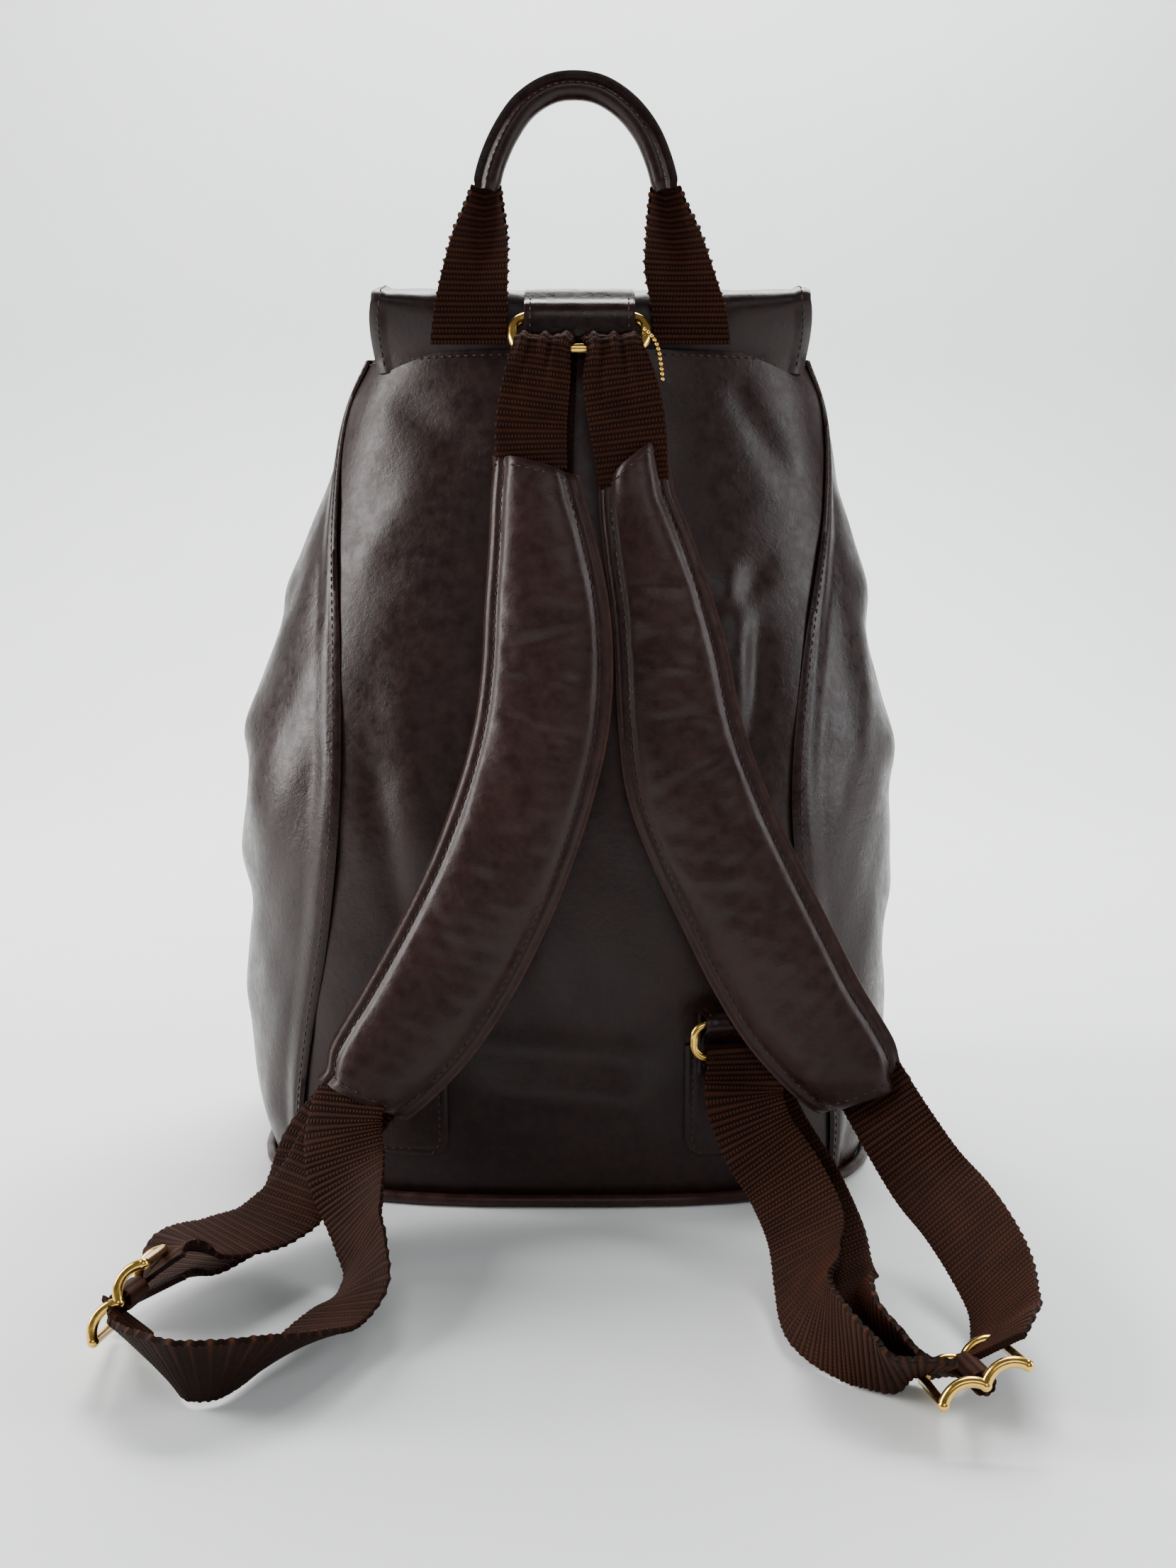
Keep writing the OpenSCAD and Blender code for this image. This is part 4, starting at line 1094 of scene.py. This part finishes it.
bpy.ops.object.mode_set(mode="OBJECT")
dress(grip, LEATHER["hide_trim"], "handle", ["handle_grip", "handle_core"])

s = np.linspace(2, GRIP_RUN - 2, 160)
turn = np.full(160, 1.28)
sew("grip_stitches", [(grip_surface(turn, s, 0.1), np.tile([0.0, -1.0, 0.0], (160, 1)))],
    "handle", pitch=2.6, size=0.8)


# %% [markdown]
# ## Tab, ring loops and patches
#
# Small leather pieces hold the brass. The tab on top is a folded strap whose front
# bulges over the ring's wire. Each lower ring hangs in a leather loop sewn on a patch
# with round lower corners.

# %% Strap-like trims
def lay_strap(name, stations, thick, cols, rows, roll=0.5):
    """A plain leather strap along stations, its edges slightly rounded."""
    line, length = route(stations)
    run = length[-1]

    def surface(u, v, lift=0.0):
        c, w, n, half = band_frame(line, length, v * run)
        edge = (1 - np.abs(2 * u - 1)) * half[:, 0]
        h = lift - roll * (1 - ease(edge / 1.1)) - 0.25 * np.exp(-((edge - 2.2) / 0.7) ** 2)
        return c + w * (half[:, 0] * (2 * u - 1))[:, None] + n * h[:, None]

    obj = lay_sheet(name, cols, rows, lambda u, v: surface(1 - u, v), thick)
    return obj, surface, run


def edge_rows(surface, half, inset, v0, v1, lift=0.12):
    v = np.linspace(v0, v1, 80)
    rows = []
    for side in (-1, 1):
        u = np.full(80, 0.5 + side * 0.5 * (half - inset) / half)
        base, high = surface(u, v, lift), surface(u, v, lift + 2)
        rows.append((base, high - base))
    return rows


TAB = [[5, y, z, 1, 0, 0, 19.6] for y, z in (
    (-62.3, 313.6), (-62.2, 319), (-62.3, 325), (-62.9, 329.6), (-64.6, 331.8),
    (-67.2, 330.4), (-70.4, 327.2), (-73.2, 324.9), (-74.6, 321.6), (-74.5, 317.4),
    (-73.6, 313.6), (-71.6, 311.6), (-69.4, 312.4))]
tab, tab_surface, tab_run = lay_strap("ring_tab_hide", TAB, 1.6, 40, 120)
dress(tab, LEATHER["hide_trim"], "bag", ["ring_tab"])
sew("tab_stitches", edge_rows(tab_surface, 19.6, 2.2, 0.52, 0.97), "bag",
    pitch=2.8, size=0.85)

# %% Lower ring loops
RING_SEAT = {"left": (-62.0, -12.0), "right": (62.0, 12.0)}
LOOP_SIDE = [(8.2, -15), (8.3, -4), (7.6, 3.2), (3, 4.2), (-1.8, 3.9), (-4, 1), (-3.7, -2),
             (0.6, -4.7), (4.2, -9.5), (6.4, -15), (6.9, -20)]
for side, (x0, turn) in RING_SEAT.items():
    c, sn = math.cos(math.radians(turn)), math.sin(math.radians(turn))
    stations = [[x0 - sn * y, -104.5 + c * y, 73.3 + z, c, sn, 0, 13.5]
                for y, z in LOOP_SIDE]
    loop, loop_surface, _ = lay_strap(side + "_loop_hide", stations, 1.5, 30, 90)
    dress(loop, LEATHER["hide_trim"], "bag", [side + "_ring_loop"])
    sew(side + "_loop_stitches", edge_rows(loop_surface, 13.5, 2.0, 0.3, 0.97), "bag",
        pitch=2.8, size=0.8)


# %% Patches
def patch_half(z):
    return 18.5 - np.where(z < 27, 8 - np.sqrt(np.maximum(64 - (27 - z) ** 2, 0)), 0)


def make_patch(side, x0):
    def surface(u, v, lift):
        z = 19.02 + 43 * v ** 1.25
        half = patch_half(z)
        x = x0 + half * (2 * u - 1)
        edge = np.minimum(half * (1 - np.abs(2 * u - 1)), z - 19)
        h = back_creases(x, z) * 0.5 + 2.0 + lift - 0.6 * (1 - ease(edge / 1.2))
        h = h - 0.3 * np.exp(-((edge - 2.9) / 0.7) ** 2)
        return np.stack([x, back_y(x, z, h), z], 1)

    patch = lay_sheet(side + "_patch_hide", 50, 60, lambda u, v: surface(u, v, 0), 2.0)
    dress(patch, LEATHER["hide_body"], "bag", [side + "_patch"])
    v = np.linspace(0.06, 0.98, 60)
    z = 19.02 + 43 * v ** 1.25
    rows = []
    for way in (-1, 1):
        u = 0.5 + way * 0.5 * (patch_half(z) - 2.9) / patch_half(z)
        base = surface(u, v, 0.15)
        rows.append((base, surface(u, v, 2) - base))
    u = np.linspace(0.32, 0.68, 20)
    v = np.full(20, (2.9 / 43) ** 0.8)
    base = surface(u, v, 0.15)
    rows.append((base, surface(u, v, 2) - base))
    sew(side + "_patch_stitches", rows, "bag", pitch=2.8, size=0.85)


make_patch("left", -61.5)
make_patch("right", 61.5)

# %% [markdown]
# ## Sliders and their wraps
#
# A brass slider is three bars joined by two humped rails. It is a hard casting, so its
# CAD solid is kept. The webbing folds round its middle bar, and that fold travels
# with it.

# %% Slider wraps
SLIDERS = {
    "left": ((-127, -205, 20.5), (0.1, -0.95, 0.3), (0.52, 0.3, 0.8)),
    "right": ((114, -237, 13), (-0.05, -0.95, 0.3), (0.9, 0.05, 0.42)),
}
for side, (place, wide, long) in SLIDERS.items():
    w = unit(np.array(wide))
    l = unit(np.array(long) - np.dot(long, w) * w)
    n = np.cross(w, l)
    stations = []
    for a in np.radians(np.arange(-160, 161, 20)):
        c = np.array(place) + 2.65 * (l * math.cos(a) + n * math.sin(a))
        stations.append([*c, *w, 13.4])
    wrap = lay_webbing(side + "_slider_fold", stations)
    dress(wrap, WEBBING, side + "_slide", [side + "_slider_wrap"])

# %% [markdown]
# ## The closing strap on the front
#
# A narrow strap hangs from the flap through a keeper and a buckle. It is a plain
# leather strip with a stitched edge.

# %% Strap and keeper
TONGUE = [
    [8, 81.9, 226, 1, 0, 0, 11], [7, 88.7, 200, 1, 0, 0, 11], [6, 94.3, 176, 1, 0, 0, 11],
    [5.5, 96.9, 154, 1, 0, 0, 11], [5.2, 97.8, 140, 1, 0, 0, 10.4],
    [5, 97.9, 134, 1, 0, 0, 6],
]
strip, strip_surface, _ = lay_strap(
    "closing_strap", [[*row[:3], -1, 0, 0, row[6]] for row in TONGUE], 2.1, 24, 100)
dress(strip, LEATHER["hide_trim"], "flap", ["strap_tongue"])
sew("closing_strap_stitches", edge_rows(strip_surface, 11, 2.2, 0.02, 0.82), "flap",
    pitch=2.8, size=0.85)
tilt = math.radians(12.7)
stations = []
for a in np.radians(np.arange(-90, 271, 15)):
    x = 13.2 * float(signed_power(math.cos(a), 0.4))
    y = 3.4 * float(signed_power(math.sin(a), 0.4))
    stations.append([6.2 + x, 92.2 + y * math.cos(tilt), 182 + y * math.sin(tilt),
                     0, -math.sin(tilt), math.cos(tilt), 4])
keeper, _, _ = lay_strap("keeper_loop", stations, 1.4, 10, 120, roll=0.3)
dress(keeper, LEATHER["hide_trim"], "flap", ["strap_keeper"])


# %% [markdown]
# ## Base sheet and ball chain
#
# The base is one flat hide under a stiff board. The chain is a short string of brass
# beads on a thin wire, so one bead is copied along its path.

# %% Base
def base_place(u, v):
    a, b = 2 * u - 1, 2 * v - 1
    r = np.maximum(np.abs(a), np.abs(b))
    rim = superoval(np.arctan2(b, a), 117.6, 88.6, 3.2)
    dip = 0.25 * drift(rim[:, 0] * r, rim[:, 1] * r, 40, 2) * (1 - r ** 4)
    return np.column_stack([rim * r[:, None], 0.3 + 0.3 * (1 - r) + np.abs(dip) * 0.5])


base = lay_sheet("base_hide", 60, 60, lambda u, v: base_place(1 - u, v), 2.2)
dress(base, LEATHER["hide_body"], "bag", ["base_panel"])

# %% Chain
CHAIN = [
    [27.5, -80.6, 315.2], [29.6, -81.6, 313.4], [31.2, -82.4, 311.2], [32.2, -83, 308.8],
    [32.8, -83.4, 306.4], [33.2, -83.6, 304], [33.5, -83.8, 301.6], [33.8, -84, 299.2],
    [34, -84, 296.8],
]
chain_line, chain_length = route([row + [0, 0, 0, 0] for row in CHAIN])
beads = []
for s in np.arange(0.4, chain_length[-1], 1.75):
    nothing_selected()
    spot = at(chain_line, chain_length, np.array([s]))[0, :3] * MM
    bpy.ops.mesh.primitive_uv_sphere_add(segments=12, ring_count=8, radius=0.00078,
                                         location=spot)
    beads.append(bpy.context.object)
nothing_selected()
for bead in beads:
    bead.select_set(True)
bpy.context.view_layer.objects.active = beads[0]
bpy.ops.object.join()
bpy.ops.object.transform_apply(location=True, rotation=True, scale=True)
chain = bpy.context.object
chain.name = "bead_chain"
dress(chain, BRASS, "bag", ["ball_chain"])

# %% [markdown]
# ## The parts that stay as the CAD made them
#
# Rings, sliders, buckle, eyelets and snaps are hard castings and turnings. Their CAD
# solids are exact, so they keep their shape and only take a brass finish.

# %% Finish the hard parts
for name in ("upper_ring", "left_lower_ring", "right_lower_ring", "left_slider",
             "right_slider", "buckle_frame", "buckle_prong", "snap_stud", "snap_socket",
             "mouth_eyelets"):
    mesh = NODES[name].data
    mesh.materials.clear()
    mesh.materials.append(BRASS)
board = NODES["base_board"].data
board.materials.clear()
board.materials.append(BOARD)
print("brass parts finished")


# %% [markdown]
# ## Floor and backdrop
#
# One sheet of matte paper lies flat under the bag and curves up behind it.

# %% Sweep
def sweep_place(u, v):
    run = 4200 * v
    y, z = -1500 + run, np.zeros_like(run)
    bend = np.clip((run - 2300) / (math.pi / 2 * 500), 0, 1) * math.pi / 2
    past = np.maximum(run - 2300 - math.pi / 2 * 500, 0)
    y = np.where(run > 2300, 800 + 500 * np.sin(bend), y)
    z = np.where(run > 2300, 500 * (1 - np.cos(bend)) + past, z)
    return np.stack([(2 * u - 1) * 2400, y, z], 1)


paper = lay_sheet("paper_sweep", 8, 120, sweep_place, 0)
mat, tree, shader = start_material("matte_paper", {"Roughness": 0.85,
                                                   "Specular IOR Level": 0.25})
grain = add_node(tree, "ShaderNodeTexNoise", {"Scale": scale_for(60), "Detail": 3.0},
                 {"Vector": add_node(tree, "ShaderNodeTexCoord").outputs["Object"]})
shade = add_node(tree, "ShaderNodeMix", {"data_type": "RGBA"}, {0: grain.outputs["Fac"]})
shade.inputs[6].default_value = linear("#dadede")
shade.inputs[7].default_value = linear("#e0e3e3")
tree.links.new(shade.outputs[2], shader.inputs["Base Color"])
paper.data.materials.append(mat)
take(paper)
bpy.ops.object.shade_smooth()
